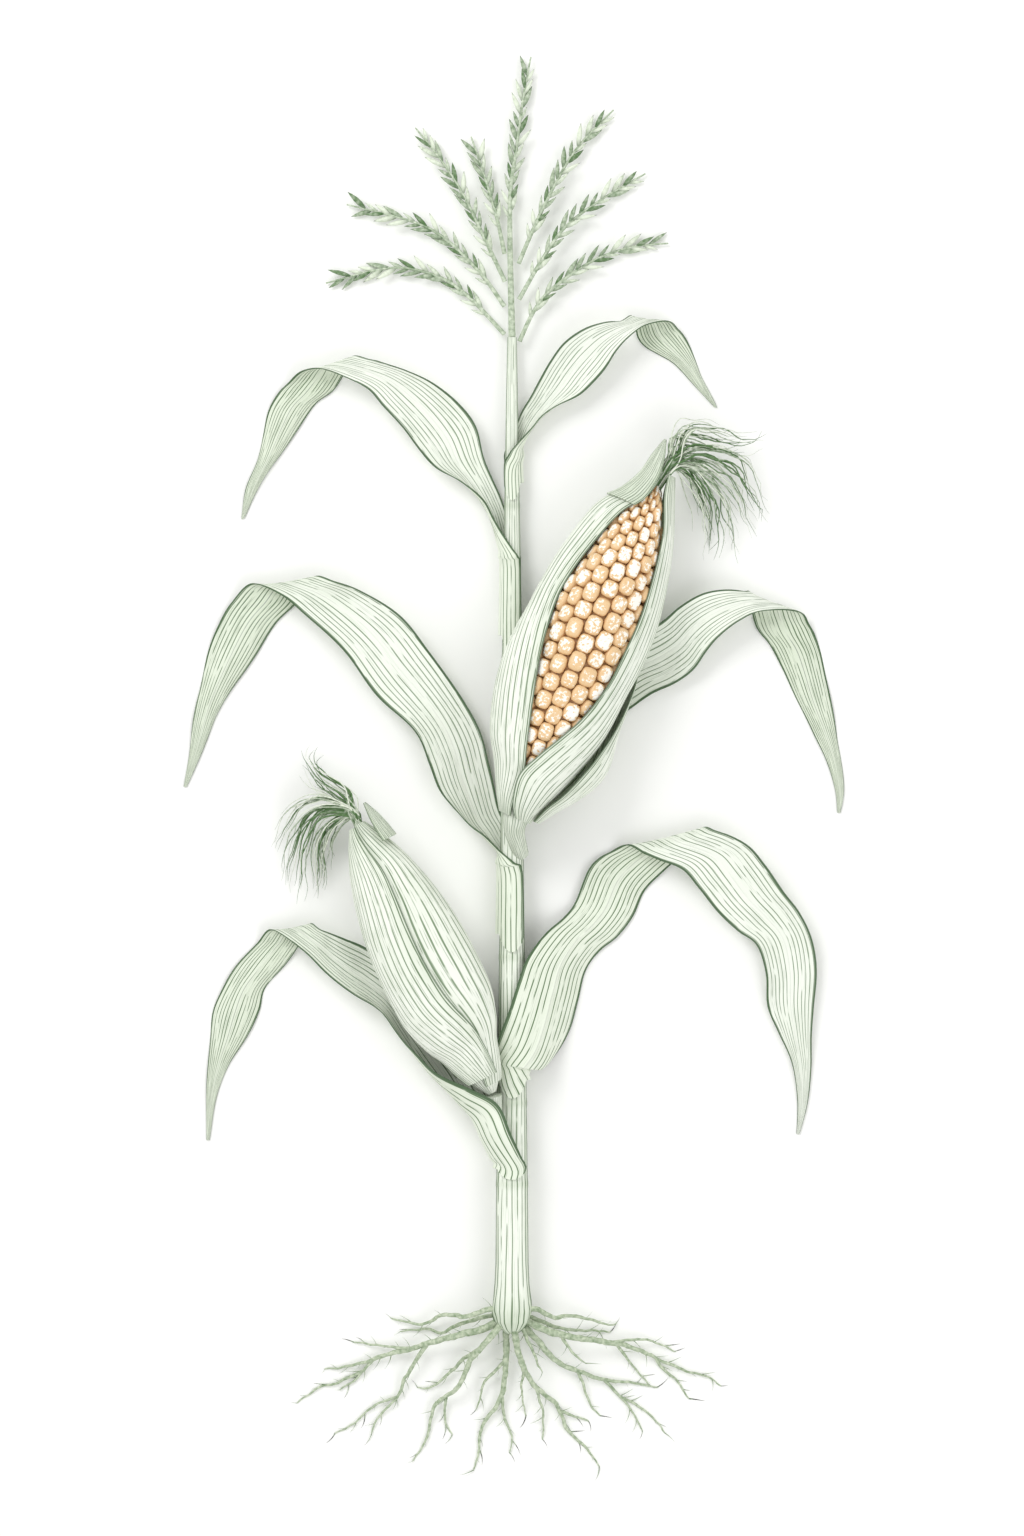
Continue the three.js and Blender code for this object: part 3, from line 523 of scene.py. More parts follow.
    def grow(self, start: bpy.types.Object, result: Wire, name: str) -> bpy.types.Object:
        """Closes the tree, runs it on an object and keeps the plain mesh.

        Args:
            start: the object that the tree starts from, which is removed.
            result: the geometry that the tree ends in.
            name: the new piece's name.

        Returns:
            The finished piece.
        """
        whole = self.node("GeometryNodeRealizeInstances", None, {0: result})
        smooth = self.node("GeometryNodeSetShadeSmooth", None, {0: whole})
        dyed = self.node("GeometryNodeSetMaterial", None, {0: smooth, "Material": self.given("Material")})
        last = self.tree.nodes.new("NodeGroupOutput")
        self.tree.links.new(dyed.socket, last.inputs[0])
        modifier = start.modifiers.new("growth", "NODES")
        modifier.node_group = self.tree
        for key, value in self.sizes.items():
            modifier[self.identifiers[key]] = value
        depsgraph = bpy.context.evaluated_depsgraph_get()
        mesh = bpy.data.meshes.new_from_object(start.evaluated_get(depsgraph), depsgraph=depsgraph)
        start.modifiers.clear()
        bpy.data.objects.remove(start)
        mesh.name = name
        return add_object(name, mesh)


# ------------------------------------------------------------------ curves and sheets


def steps(gaps: np.ndarray, spacing: float, fewest: int = 2) -> list[int]:
    """How many rows of about one spacing each gap gets."""
    return [max(int(round(gap / spacing)), fewest) for gap in gaps]


def smooth_rows(rows: np.ndarray, counts: Sequence[int]) -> np.ndarray:
    """Catmull-Rom rows between the rows of a table.

    Args:
        rows: one row of numbers for each station.
        counts: how many rows each gap between two stations gets.

    Returns:
        The finer table, ending in the last station.
    """
    made = []
    for i, count in enumerate(counts):
        around = (min(max(n, 0), len(rows) - 1) for n in range(i - 1, i + 3))
        before, first, second, after = (rows[n] for n in around)
        for t in np.arange(count) / count:
            made.append(
                before * (-0.5 * t + t * t - 0.5 * t**3)
                + first * (1 - 2.5 * t * t + 1.5 * t**3)
                + second * (0.5 * t + 2 * t * t - 1.5 * t**3)
                + after * (-0.5 * t * t + 0.5 * t**3)
            )
    made.append(rows[-1])
    return np.array(made)


def smooth_path(points: Table, spacing: float) -> np.ndarray:
    """A smooth line of points through a few, about `spacing` apart."""
    corners = np.array(points, float)
    return smooth_rows(corners, steps(np.linalg.norm(np.diff(corners, axis=0), axis=1), spacing, 1))


def smooth_profile(profile: Table, share: np.ndarray) -> np.ndarray:
    """Reads a smooth curve through a table of places and values."""
    table = np.array(profile, float)
    fine = smooth_rows(table, [8] * (len(table) - 1))
    return np.interp(share, fine[:, 0], fine[:, 1])


def lengths(line: np.ndarray) -> np.ndarray:
    """Distance along a line of points, at each of them."""
    return np.concatenate([[0], np.cumsum(np.linalg.norm(np.diff(line, axis=0), axis=1))])


def strip_map(across: np.ndarray, along: np.ndarray) -> np.ndarray:
    """The strip map of a grid of points: the share across it, and the metres along it."""
    return np.stack(np.broadcast_arrays(across[None, :], (along * MM)[:, None]), axis=2).reshape(-1, 2)


def unit(vectors: np.ndarray) -> np.ndarray:
    """Vectors of length one."""
    return vectors / np.maximum(np.linalg.norm(vectors, axis=-1, keepdims=True), 1e-9)


def arc_rows(a: np.ndarray, b: np.ndarray, n: np.ndarray, sag: np.ndarray, columns: int) -> np.ndarray:
    """A grid of points whose rows are arcs.

    Args:
        a: where each row's arc starts.
        b: where it ends.
        n: the direction that it bulges to.
        sag: how far it bulges.
        columns: points in a row.

    Returns:
        Points by row and column.
    """
    chord = b - a
    half = np.linalg.norm(chord, axis=1)[:, None] / 2
    along = unit(chord)
    out = unit(n - along * np.sum(n * along, axis=1)[:, None])
    bulge = np.maximum(sag, 1e-3)[:, None]
    radius = (half * half + bulge * bulge) / (2 * bulge)
    centre = (a + b) / 2 + out * (bulge - radius)
    reach = 2 * np.arctan2(bulge, half)
    turn = reach * np.linspace(-1, 1, columns)[None, :]
    sideways = along[:, None, :] * (radius * np.sin(turn))[:, :, None]
    outwards = out[:, None, :] * (radius * np.cos(turn))[:, :, None]
    return centre[:, None, :] + sideways + outwards


@dataclass
class Plot:
    """Where the plant lies: turns millimetres in the plant frame into metres in the part's frame."""

    corner: np.ndarray

    def metres(self, points: np.ndarray) -> np.ndarray:
        """Points of the plant frame in the part's frame."""
        return np.asarray(points, float) * MM + self.corner

    @staticmethod
    def from_stalk(crown_depth: float, lowest: float) -> "Plot":
        """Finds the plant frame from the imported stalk.

        Args:
            crown_depth: how far the stalk reaches below the soil line, in mm.
            lowest: height of the stalk's lowest side over the surface, in mm.

        Returns:
            The plot.
        """
        low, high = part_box("stalk")
        return Plot(np.array([(low[0] + high[0]) / 2, low[1] + crown_depth * MM, low[2] - lowest * MM]))


def add_object(name: str, data: bpy.types.ID) -> bpy.types.Object:
    """Puts a mesh, a camera or a light into the scene."""
    made = bpy.data.objects.new(name, data)
    bpy.context.scene.collection.objects.link(made)
    return made


def carry(mesh: bpy.types.Mesh, numbers: Mapping[str, np.ndarray]) -> None:
    """Writes numbers or vectors into a mesh, one for each vertex."""
    for key, values in numbers.items():
        kind, field_name = ("FLOAT_VECTOR", "vector") if values.ndim == 2 else ("FLOAT", "value")
        made = mesh.attributes.new(key, kind, "POINT")
        made.data.foreach_set(field_name, values.astype(np.float32).ravel())


def add_mesh(
    name: str,
    points: np.ndarray,
    faces: Sequence[Sequence[int]],
    strip: np.ndarray | None = None,
    numbers: Mapping[str, np.ndarray] | None = None,
    crease: float = 50.0,
) -> bpy.types.Object:
    """Makes a mesh object at the origin.

    Args:
        name: the piece's name.
        points: vertices in metres.
        faces: rings of vertex numbers.
        strip: each vertex's place in the UV map called strip.
        numbers: further numbers that the vertices carry, by name.
        crease: edges sharper than this many degrees are shaded sharp.

    Returns:
        The object.
    """
    mesh = bpy.data.meshes.new(name)
    mesh.from_pydata(points.tolist(), [], [list(face) for face in faces])
    mesh.update()
    if strip is not None:
        layer = mesh.uv_layers.new(name="strip")
        corners = np.zeros(len(mesh.loops), np.int32)
        mesh.loops.foreach_get("vertex_index", corners)
        layer.data.foreach_set("uv", strip[corners].astype(np.float32).ravel())
    carry(mesh, numbers or {})
    mesh.shade_smooth()
    mesh.set_sharp_from_angle(angle=math.radians(crease))
    return add_object(name, mesh)


def dress(piece: bpy.types.Object, material: bpy.types.Material, slot: str, *nodes: str) -> None:
    """Gives a finished piece its material and its body, and hides the CAD nodes that it stands for.

    Args:
        piece: the piece.
        material: its finish.
        slot: not used.
        nodes: the CAD nodes that it replaces.
    """
    piece.data.materials.clear()
    piece.data.materials.append(material)
    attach(piece, "root")
    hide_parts(*nodes)
    LOG.info("%s: %d faces", piece.name, len(piece.data.polygons))


FLUTTER_WAVE = 17.0
FLUTTER_WIDTH = 25.0
RELIEF_WIDTH = 30.0
GROOVE_SHARE = 0.35


@dataclass
class Sheet:
    """A thin sheet about a grid of points, in mm, with its own relief on each face.

    Its margins flutter where it is wide, one wave for each 2 pi of FLUTTER_WAVE, and its veins and its
    midrib fade out where it is narrower than RELIEF_WIDTH. The midrib's groove is shallower than its rib.
    """

    grid: np.ndarray
    thickness: float
    veins: int
    vein_depth: float
    midrib: float = 0.0
    midrib_width: float = 2.4
    flutter: float = 0.0
    facing: Facing = Facing.BULGE_UNDER

    def build(self, name: str, plot: Plot, tone: np.ndarray | None = None) -> bpy.types.Object:
        """Makes the sheet's mesh.

        Args:
            name: the piece's name.
            plot: where the plant lies.
            tone: how shaded each row is, from 0 to 1, or None for no shading.

        Returns:
            The sheet, with its strip map, the attribute under, which marks the underside that gets painted
            shade, and tone.
        """
        rows, columns, _ = self.grid.shape
        across = np.linspace(0, 1, columns)
        along = lengths(self.grid[:, columns // 2])
        width = np.linalg.norm(np.diff(self.grid, axis=1), axis=2).sum(axis=1)
        normal = unit(np.cross(np.gradient(self.grid, axis=1), np.gradient(self.grid, axis=0)))
        share = along / along[-1]
        edge = np.abs(across - 0.5) * 2
        fade = np.clip(width / FLUTTER_WIDTH, 0, 1) * np.clip((share - 0.15) / 0.1, 0, 1)
        wave = np.sin(along / FLUTTER_WAVE)[:, None] * np.where(across < 0.5, 1.0, -0.7)[None, :]
        lift = self.flutter * fade[:, None] * wave * (edge**3)[None, :]
        relief = np.clip(width / RELIEF_WIDTH, 0, 1)[:, None]
        ridges = self.vein_depth * relief * np.cos(2 * np.pi * self.veins * across)[None, :]
        rib = np.exp(-(((across - 0.5)[None, :] * width[:, None] / self.midrib_width) ** 2))
        rib = rib * self.midrib * ((1 - share) ** 0.6)[:, None] * relief
        half = self.thickness / 2
        first = self.grid + normal * (lift + half + ridges)[:, :, None]
        second = self.grid + normal * (lift - half + ridges)[:, :, None]
        under = int(self._bulge_side(normal))
        sign = 1.0 if under == 0 else -1.0
        ribbed, grooved = ((first, second), (second, first))[under]
        ribbed += normal * (sign * rib)[:, :, None]
        grooved += normal * (sign * GROOVE_SHARE * rib)[:, :, None]
        points = plot.metres(np.concatenate([first.reshape(-1, 3), second.reshape(-1, 3)]))
        strip = strip_map(across, along)
        # below marks the underside, which the materials paint in shade.
        below = np.zeros(2 * rows * columns)
        below[under * rows * columns : (under + 1) * rows * columns] = 1.0
        if self.facing is Facing.BULGE_OVER:
            below = 1.0 - below
        tones = np.repeat(tone if tone is not None else np.zeros(rows), columns)
        numbers = {"under": below, "tone": np.concatenate([tones, tones])}
        return add_mesh(name, points, self._faces(rows, columns), np.concatenate([strip, strip]), numbers)

    def _bulge_side(self, normal: np.ndarray) -> bool:
        """Tells which face is the bulging one: False for the first, True for the second."""
        columns = self.grid.shape[1]
        chord = (self.grid[:, 0] + self.grid[:, -1]) / 2
        bulge = self.grid[:, columns // 2] - chord
        return bool(np.sum(bulge * normal[:, columns // 2]) < 0)

    @staticmethod
    def _faces(rows: int, columns: int) -> list[tuple[int, int, int, int]]:
        """Four-sided faces over both sides and round the rim, pointing outwards."""
        size = rows * columns
        faces = []
        for r in range(rows - 1):
            for c in range(columns - 1):
                a, b = r * columns + c, (r + 1) * columns + c
                faces.append((a, a + 1, b + 1, b))
                faces.append((size + a, size + b, size + b + 1, size + a + 1))
            a, b = r * columns, (r + 1) * columns
            faces.append((a, b, size + b, size + a))
            a, b = a + columns - 1, b + columns - 1
            faces.append((a, size + a, size + b, b))
        last = (rows - 1) * columns
        for c in range(columns - 1):
            faces.append((c, size + c, size + c + 1, c + 1))
            a = last + c
            faces.append((a, a + 1, size + a + 1, size + a))
        return faces


def add_loft(
    name: str,
    rings: np.ndarray,
    plot: Plot,
    along: np.ndarray,
    numbers: Mapping[str, np.ndarray] | None = None,
) -> bpy.types.Object:
    """A closed solid through rings of points.

    Args:
        name: the piece's name.
        rings: points in mm by ring and turn, from the right side over the top to the left.
        plot: where the plant lies.
        along: each ring's place along the solid, in mm.
        numbers: further numbers, one for each ring.

    Returns:
        The solid, with its strip map.
    """
    count, sides, _ = rings.shape
    ends = rings[0].mean(axis=0)[None], rings[-1].mean(axis=0)[None]
    points = np.concatenate([rings.reshape(-1, 3), *ends])
    faces: list[tuple[int, ...]] = []
    for r in range(count - 1):
        for k in range(sides):
            a, b = r * sides + k, r * sides + (k + 1) % sides
            faces.append((a, a + sides, b + sides, b))
    start, end, last = count * sides, count * sides + 1, (count - 1) * sides
    for k in range(sides):
        after = (k + 1) % sides
        faces.append((k, after, start))
        faces.append((last + after, last + k, end))
    strip = strip_map(np.abs(np.arange(sides) / sides - 0.5) * 2, along)
    strip = np.concatenate([strip, strip[:1], strip[-1:]])
    carried = {}
    for key, values in (numbers or {}).items():
        carried[key] = np.concatenate([np.repeat(values, sides), values[:1], values[-1:]])
    return add_mesh(name, plot.metres(points), faces, strip, carried)


def add_lines(
    name: str, paths: Sequence[np.ndarray], radii: Sequence[np.ndarray], plot: Plot
) -> bpy.types.Object:
    """A mesh of edges that a growth tree starts from.

    Args:
        name: the object's name.
        paths: lines of points in mm.
        radii: the radius at each point, in mm.
        plot: where the plant lies.

    Returns:
        The object, whose points carry the attribute thickness in metres.
    """
    edges, base = [], 0
    for path in paths:
        edges += [(base + i, base + i + 1) for i in range(len(path) - 1)]
        base += len(path)
    mesh = bpy.data.meshes.new(name)
    mesh.from_pydata(plot.metres(np.concatenate(paths)).tolist(), edges, [])
    carry(mesh, {"thickness": np.concatenate(radii) * MM})
    return add_object(name, mesh)


def add_bud(name: str, rings: np.ndarray, top: float, label: str) -> bpy.types.Object:
    """A small closed shape that a growth tree sets out many times.

    Args:
        name: the object's name.
        rings: points by level and turn, standing on the origin.
        top: height of the point that closes it.
        label: the attribute that carries each level's height.

    Returns:
        The shape.
    """
    levels, sides, _ = rings.shape
    heights = np.append(rings[:, :, 2].ravel(), 1.0)
    points = np.concatenate([rings.reshape(-1, 3), [[0.0, 0.0, top]]])
    faces: list[tuple[int, ...]] = [tuple(reversed(range(sides)))]
    for level in range(levels - 1):
        for k in range(sides):
            a, b = level * sides + k, level * sides + (k + 1) % sides
            faces.append((a, b, b + sides, a + sides))
    last = (levels - 1) * sides
    faces += [(last + k, last + (k + 1) % sides, last + sides) for k in range(sides)]
    return add_mesh(name, points, faces, None, {label: heights}, 80.0)


# ------------------------------------------------------------------ finishes


@dataclass(frozen=True)
class BladeFinish:
    """A leaf with parallel veins, a light midrib and dark margins: pale above, with painted shade below and
    where its tone attribute marks it.
    """

    name: str = "corn_leaf"
    above: Colour = PALE_LEAF
    below: Colour = SHADED_UNDERSIDE_LEAF
    vein: Colour = VEIN_GREEN
    margin: Colour = DEEP_GREEN
    veins: int = 13
    fine_veins: int = 41

    def material(self) -> bpy.types.Material:
        """Builds the material."""
        dye = Dye(self.name)
        across, along = dye.strip()
        under, tone = dye.attribute("under"), dye.attribute("tone")
        cloud = dye.noise(dye.place(), 22.0, 3.0)
        from_middle = abs(across - 0.5)
        rib = 1.0 - from_middle.ease(0.012, 0.045)
        bold = dye.lines(across, along, self.veins, 0.25, 0.35)
        fine = dye.lines(across + 0.37, along, self.fine_veins, 0.34, 0.95)
        # Painted shade: the underside (under) gets a darker ground, and tone, from the leaf's shade table,
        # darkens the ground and the veins.
        ground = dye.mix(under, self.above, self.below)
        ground = dye.mix(cloud.ease(0.35, 0.75) * 0.2, ground, SHADED_LEAF)
        ground = dye.mix(tone * 0.35, ground, SOFT_GREEN)
        # Painted shade: the veins are darker on the underside.
        depth = 0.82 + 0.15 * under
        colour = dye.mix(fine * (0.25 + 0.55 * tone) * (1.0 - rib), ground, self.vein)
        colour = dye.mix(bold * depth * (1.0 - rib), colour, self.vein)
        colour = dye.mix(bold * tone * 0.9, colour, self.margin)
        # The midrib is less pale on the underside, as painted shade.
        colour = dye.mix(rib * (0.5 - 0.35 * under), colour, PALE_HUSK)
        colour = dye.mix(from_middle.ease(0.465, 0.475) * 0.95, colour, self.margin)
        relief = bold * 0.5 + fine * 0.2 + cloud * 0.3
        return dye.finish(colour, 0.55 + 0.15 * cloud, relief, 0.0006, Specular_IOR_Level=0.3)


@dataclass(frozen=True)
class HuskFinish:
    """A husk leaf: pale, with close fibres, darker towards its margins, and painted shade on its inner face
    and where its tone attribute marks it, towards its foot and tip.
    """

    name: str = "corn_husk"
    ground: Colour = PALE_HUSK
    fibre: Colour = VEIN_GREEN
    margin: Colour = DEEP_GREEN
    fibres: int = 15
    fine_fibres: int = 43

    def material(self) -> bpy.types.Material:
        """Builds the material."""
        dye = Dye(self.name)
        across, along = dye.strip()
        under, tone = dye.attribute("under"), dye.attribute("tone")
        cloud = dye.noise(dye.place(), 26.0, 3.0)
        from_middle = abs(across - 0.5)
        edge = from_middle.ease(0.30, 0.5)
        bold = dye.lines(across, along, self.fibres, 0.26, 0.3)
        fine = dye.lines(across + 0.21, along, self.fine_fibres, 0.36, 0.85)
        # Painted shade: the inner face (under) and tone darken the ground and the fibres; the ground also
        # darkens towards the margins.
        ground = dye.mix(cloud.ease(0.35, 0.75) * 0.25, self.ground, SHADED_LEAF)
        ground = dye.mix(edge * 0.25 + tone * 0.4 + under * 0.4, ground, SOFT_GREEN)
        colour = dye.mix(fine * (0.4 + 0.4 * edge + 0.4 * tone), ground, self.fibre)
        colour = dye.mix(bold * 0.8, colour, self.fibre)
        colour = dye.mix(bold * (tone * 0.7 + edge * 0.35), colour, self.margin)
        colour = dye.mix(from_middle.ease(0.480, 0.489) * 0.8, colour, self.margin)
        relief = bold * 0.5 + fine * 0.25 + cloud * 0.25
        return dye.finish(colour, 0.6 + 0.15 * cloud, relief, 0.0006, Specular_IOR_Level=0.3)


@dataclass(frozen=True)
class StemFinish:
    """A ribbed stem: pale, with fine dark lines along it, and painted shade on its flanks: a darker ground,
    darker lines and a dark band down each side.
    """

    name: str = "corn_stem"
    ground: Colour = PALE_STALK
    line: Colour = VEIN_GREEN
    flank_shade: Colour = DEEP_GREEN
    ribs: int = 9

    def material(self) -> bpy.types.Material:
        """Builds the material."""
        dye = Dye(self.name)
        across, along = dye.strip()
        tone = dye.attribute("tone")
        cloud = dye.noise(dye.place(), 40.0, 3.0)
        sideways = abs(across - 0.5)
        # Painted shade on the flanks, the stalk's left and right sides.
        flank_shade = sideways.ease(0.22, 0.46)
        bold = dye.lines(across, along, self.ribs, 0.26, 0.35)
        fine = dye.lines(across + 0.4, along, self.ribs * 3.0, 0.36, 0.8)
        ground = dye.mix(cloud.ease(0.35, 0.8) * 0.3, self.ground, SHADED_LEAF)
        ground = dye.mix(flank_shade * 0.25 + tone * 0.4, ground, SOFT_GREEN)
        colour = dye.mix(fine * (0.25 + 0.5 * flank_shade), ground, self.line)
        colour = dye.mix(bold * 0.8, colour, self.line)
        colour = dye.mix(bold * (flank_shade * 0.7 + tone * 0.5), colour, self.flank_shade)
        colour = dye.mix(sideways.ease(0.38, 0.44) * 0.85, colour, self.flank_shade)
        relief = bold * 0.6 + cloud * 0.4
        return dye.finish(colour, 0.5 + 0.2 * cloud, relief, 0.0006, Specular_IOR_Level=0.35)


@dataclass(frozen=True)
class KernelFinish:
    """Kernels: glossy and tan down their sides, with a painted white highlight on each crown and painted shade
    in deeper tan low down and in the gaps between them.
    """

    name: str = "corn_kernels"
    crown: Colour = HIGHLIGHT_WHITE
    side: Colour = KERNEL_TAN
    gap: Colour = SHADE_AND_FLECK_TAN

    def material(self) -> bpy.types.Material:
        """Builds the material."""
        dye = Dye(self.name)
        height, lot = dye.attribute("height"), dye.attribute("lot")
        place = dye.place()
        mottle = dye.noise(place, 320.0, 3.0)
        grain = dye.noise(place, 900.0, 2.0)
        level = height + (mottle - 0.5) * 0.9 + (lot - 0.5) * 0.2
        # Painted shade: deeper tan low on each kernel and in the gaps between them.
        colour = dye.mix(level.ease(0.1, 0.6), self.gap, self.side)
        # Random flecks of the same deeper tan.
        colour = dye.mix(grain.ease(0.45, 0.7) * 0.6, colour, self.gap)
        # Painted highlight: white on each kernel's crown.
        colour = dye.mix(level.ease(0.93, 1.0), colour, self.crown)
        return dye.finish(colour, 0.32 + 0.2 * mottle, mottle, 0.0004, Coat_Weight=0.15, Coat_Roughness=0.3)


@dataclass(frozen=True)
class StrandFinish:
    """Threads or fine stems whose colour changes from one to the next and along each of them."""

    name: str
    pale: Colour
    dark: Colour = VEIN_GREEN
    deepest: Colour = DEEP_GREEN
    roughness: float = 0.6
    variety: float = 0.7
    foot: float = 0.25

    def material(self) -> bpy.types.Material:
        """Builds the material."""
        dye = Dye(self.name)
        lot, share = dye.attribute("lot"), dye.attribute("share")
        streaks = dye.noise(dye.place(), 260.0, 3.0)
        fleck = dye.noise(dye.place(), 70.0, 2.0)
        colour = dye.mix((streaks * 0.6 + lot * self.variety).ease(0.35, 0.95), self.pale, self.dark)
        ends = (1.0 - share.ease(0.0, self.foot)) + share.ease(0.85, 1.0)
        colour = dye.mix(ends * 0.6 + fleck.ease(0.6, 0.8) * 0.2, colour, self.deepest)
        return dye.finish(colour, self.roughness + 0.15 * streaks, streaks, 0.0003, Specular_IOR_Level=0.3)


# ------------------------------------------------------------------ stalk and leaves


@dataclass
class Stalk:
    """The stalk: its length, its radius up its length and how high it lies. Sizes in mm."""

    length: float = 972.0
    crown_depth: float = 26.0
    crown_height: float = 26.0
    top_height: float = 12.0
    lowest: float = 6.0
    radii: Table = (
        (-26, 5), (-21, 12), (-14, 17.5), (-3, 20), (8, 19), (24, 17.2), (44, 16.3), (100, 15.8),
        (400, 12), (700, 9.3), (972, 4.6),
    )
    joints: Sequence[float] = (124.0, 205.0, 351.0, 500.0, 650.0, 803.0)
    ribs: int = 26
    rib_height: float = 0.22
    sides: int = 104
    crown_top: float = 30.0
    crown_rings: int = 34
    stem_rings: int = 540
    joint_reach: float = 4.0

    def radius(self, y: np.ndarray | float) -> np.ndarray | float:
        """Radius at a distance up the stalk."""
        table = np.array(self.radii, float)
        return np.interp(y, table[:, 0], table[:, 1])

    def height(self, y: np.ndarray | float) -> np.ndarray | float:
        """Height of the centre line over the surface."""
        return self.crown_height + (self.top_height - self.crown_height) * np.maximum(y, 0) / self.length

    def swelling(self, y: np.ndarray) -> np.ndarray:
        """How far the joints stand out: a collar at each."""
        return 0.5 * sum(self._near_joints(y)) * np.clip((self.length - y) / 300, 0.35, 1)

    def _near_joints(self, y: np.ndarray) -> list[np.ndarray]:
        """How near each joint is, from 0 to 1."""
        return [np.exp(-(((y - joint) / self.joint_reach) ** 2)) for joint in self.joints]

    def build(self, plot: Plot, material: bpy.types.Material) -> None:
        """Makes the stalk.

        Args:
            plot: where the plant lies.
            material: its finish.
        """
        crown_y = np.linspace(-self.crown_depth, self.crown_top, self.crown_rings)
        y = np.concatenate([crown_y, np.linspace(self.crown_top + 1.5, self.length, self.stem_rings)])
        turn = np.linspace(0, 2 * np.pi, self.sides, endpoint=False)
        rib = self.rib_height * np.cos(self.ribs * turn)[None, :] * np.clip((y + 20) / 40, 0, 1)[:, None]
        crown = 0.9 * np.sin(5 * turn[None, :] + y[:, None] / 6.0) * np.clip((20 - y) / 30, 0, 1)[:, None]
        radius = (self.radius(y) + self.swelling(y))[:, None] + rib + crown
        ring_x = radius * np.cos(turn)[None, :]
        ring_z = self.height(y)[:, None] + radius * np.sin(turn)[None, :]
        rings = np.stack(np.broadcast_arrays(ring_x, y[:, None], ring_z), axis=2)
        tone = np.exp(-(((y + 20) / 26) ** 2))
        for near in self._near_joints(y):
            tone = np.maximum(tone, 0.6 * near)
        stalk = add_loft("stalk_stem", rings, plot, y, {"tone": tone})
        dress(stalk, material, "stalk", "stalk")


SHEATH_GAP = 2.4


@dataclass
class Leaf:
    """One leaf, from its sheath round the stalk to the tip of its blade.

    wraps: height from the collar, angle of the front margin and angle of the back margin.
    blade: front margin x, y, z, back margin x, y, z, and bulge towards the underside.
    shade: share of the leaf's length, and how shaded it is there.
    """

    name: str
    side: Side
    collar: float
    foot: float
    wraps: Table
    blade: Table
    shade: Table
    columns: int = 65
    spacing: float = 3.6
    thickness: float = 0.9
    cuff: float = 18.0
    cuff_lowest: float = 0.18

    def build(self, stalk: Stalk, plot: Plot, material: bpy.types.Material) -> None:
        """Makes the leaf.

        Args:
            stalk: what the sheath goes round.
            plot: where the plant lies.
            material: its finish.
        """
        wraps = [(self.foot - self.collar, 40, -40), *self.wraps]
        stations = [self._wrap(stalk, *row, stand=0.0 if i < 2 else 1.8) for i, row in enumerate(wraps)]
        sheath = len(stations)
        for ax, ay, az, bx, by, bz, sag in self.blade:
            a, b = np.array([ax, self.collar + ay, az]), np.array([bx, self.collar + by, bz])
            stations.append((a, b, np.zeros(3), sag))
        middles = [(a + b) / 2 for a, b, _, _ in stations]
        rows = []
        for i, (a, b, n, sag) in enumerate(stations):
            if i >= sheath:
                along = middles[min(i + 1, len(middles) - 1)] - middles[i - 1]
                n = unit(np.cross(along, b - a)) * -self.side.value
            rows.append(np.concatenate([a, b, n, [sag]]))
        table = np.array(rows)
        reach = np.linalg.norm(np.diff((table[:, :3] + table[:, 3:6]) / 2, axis=0), axis=1)
        fine = smooth_rows(table, steps(reach, self.spacing))
        grid = arc_rows(fine[:, :3], fine[:, 3:6], fine[:, 6:9], fine[:, 9], self.columns)
        grid[:, :, 1] += self._cuff_rise(fine[:, 1])
        share = np.linspace(0, 1, len(grid))
        marks = np.array(self.shade, float)
        tone = np.interp(share, marks[:, 0], marks[:, 1])
        sheet = Sheet(grid, self.thickness, veins=16, vein_depth=0.14, midrib=1.5, flutter=1.6)
        dress(sheet.build(f"{self.name}_blade", plot, tone), material, "leaf", self.name)

    def _cuff_rise(self, y: np.ndarray) -> np.ndarray:
        """How far the sheath's foot rises towards its sides, by row and column."""
        sheath = self.collar - self.foot
        near_foot = np.clip(1 - (y - self.foot) / sheath, 0, 1)
        near_foot[np.argmax(y > self.collar) :] = 0
        across = np.linspace(0, 1, self.columns)
        bend = np.minimum(((across - self.cuff_lowest) / 0.2) ** 2, 1)
        return min(self.cuff, 0.5 * sheath) * near_foot[:, None] * bend[None, :]

    def _wrap(
        self, stalk: Stalk, dy: float, front: float, back: float, stand: float
    ) -> tuple[np.ndarray, np.ndarray, np.ndarray, float]:
        """One station of the sheath: both margins, the bulge's direction and the bulge."""
        y = self.collar + dy
        span = math.radians(360 - front + back)
        radius = stalk.radius(y) + SHEATH_GAP + stand
        middle = math.radians(180 + (front + back) / 2)

        def spot(turn: float, r: float) -> np.ndarray:
            """A point round the stalk's centre line."""
            x = -self.side.value * r * math.cos(turn)
            return np.array([x, y, stalk.height(y) + r * math.sin(turn)])

        a, b = spot(math.radians(front), radius), spot(math.radians(back), radius)
        return a, b, spot(middle, 1) - spot(0, 0), radius * (1 - math.cos(span / 2))


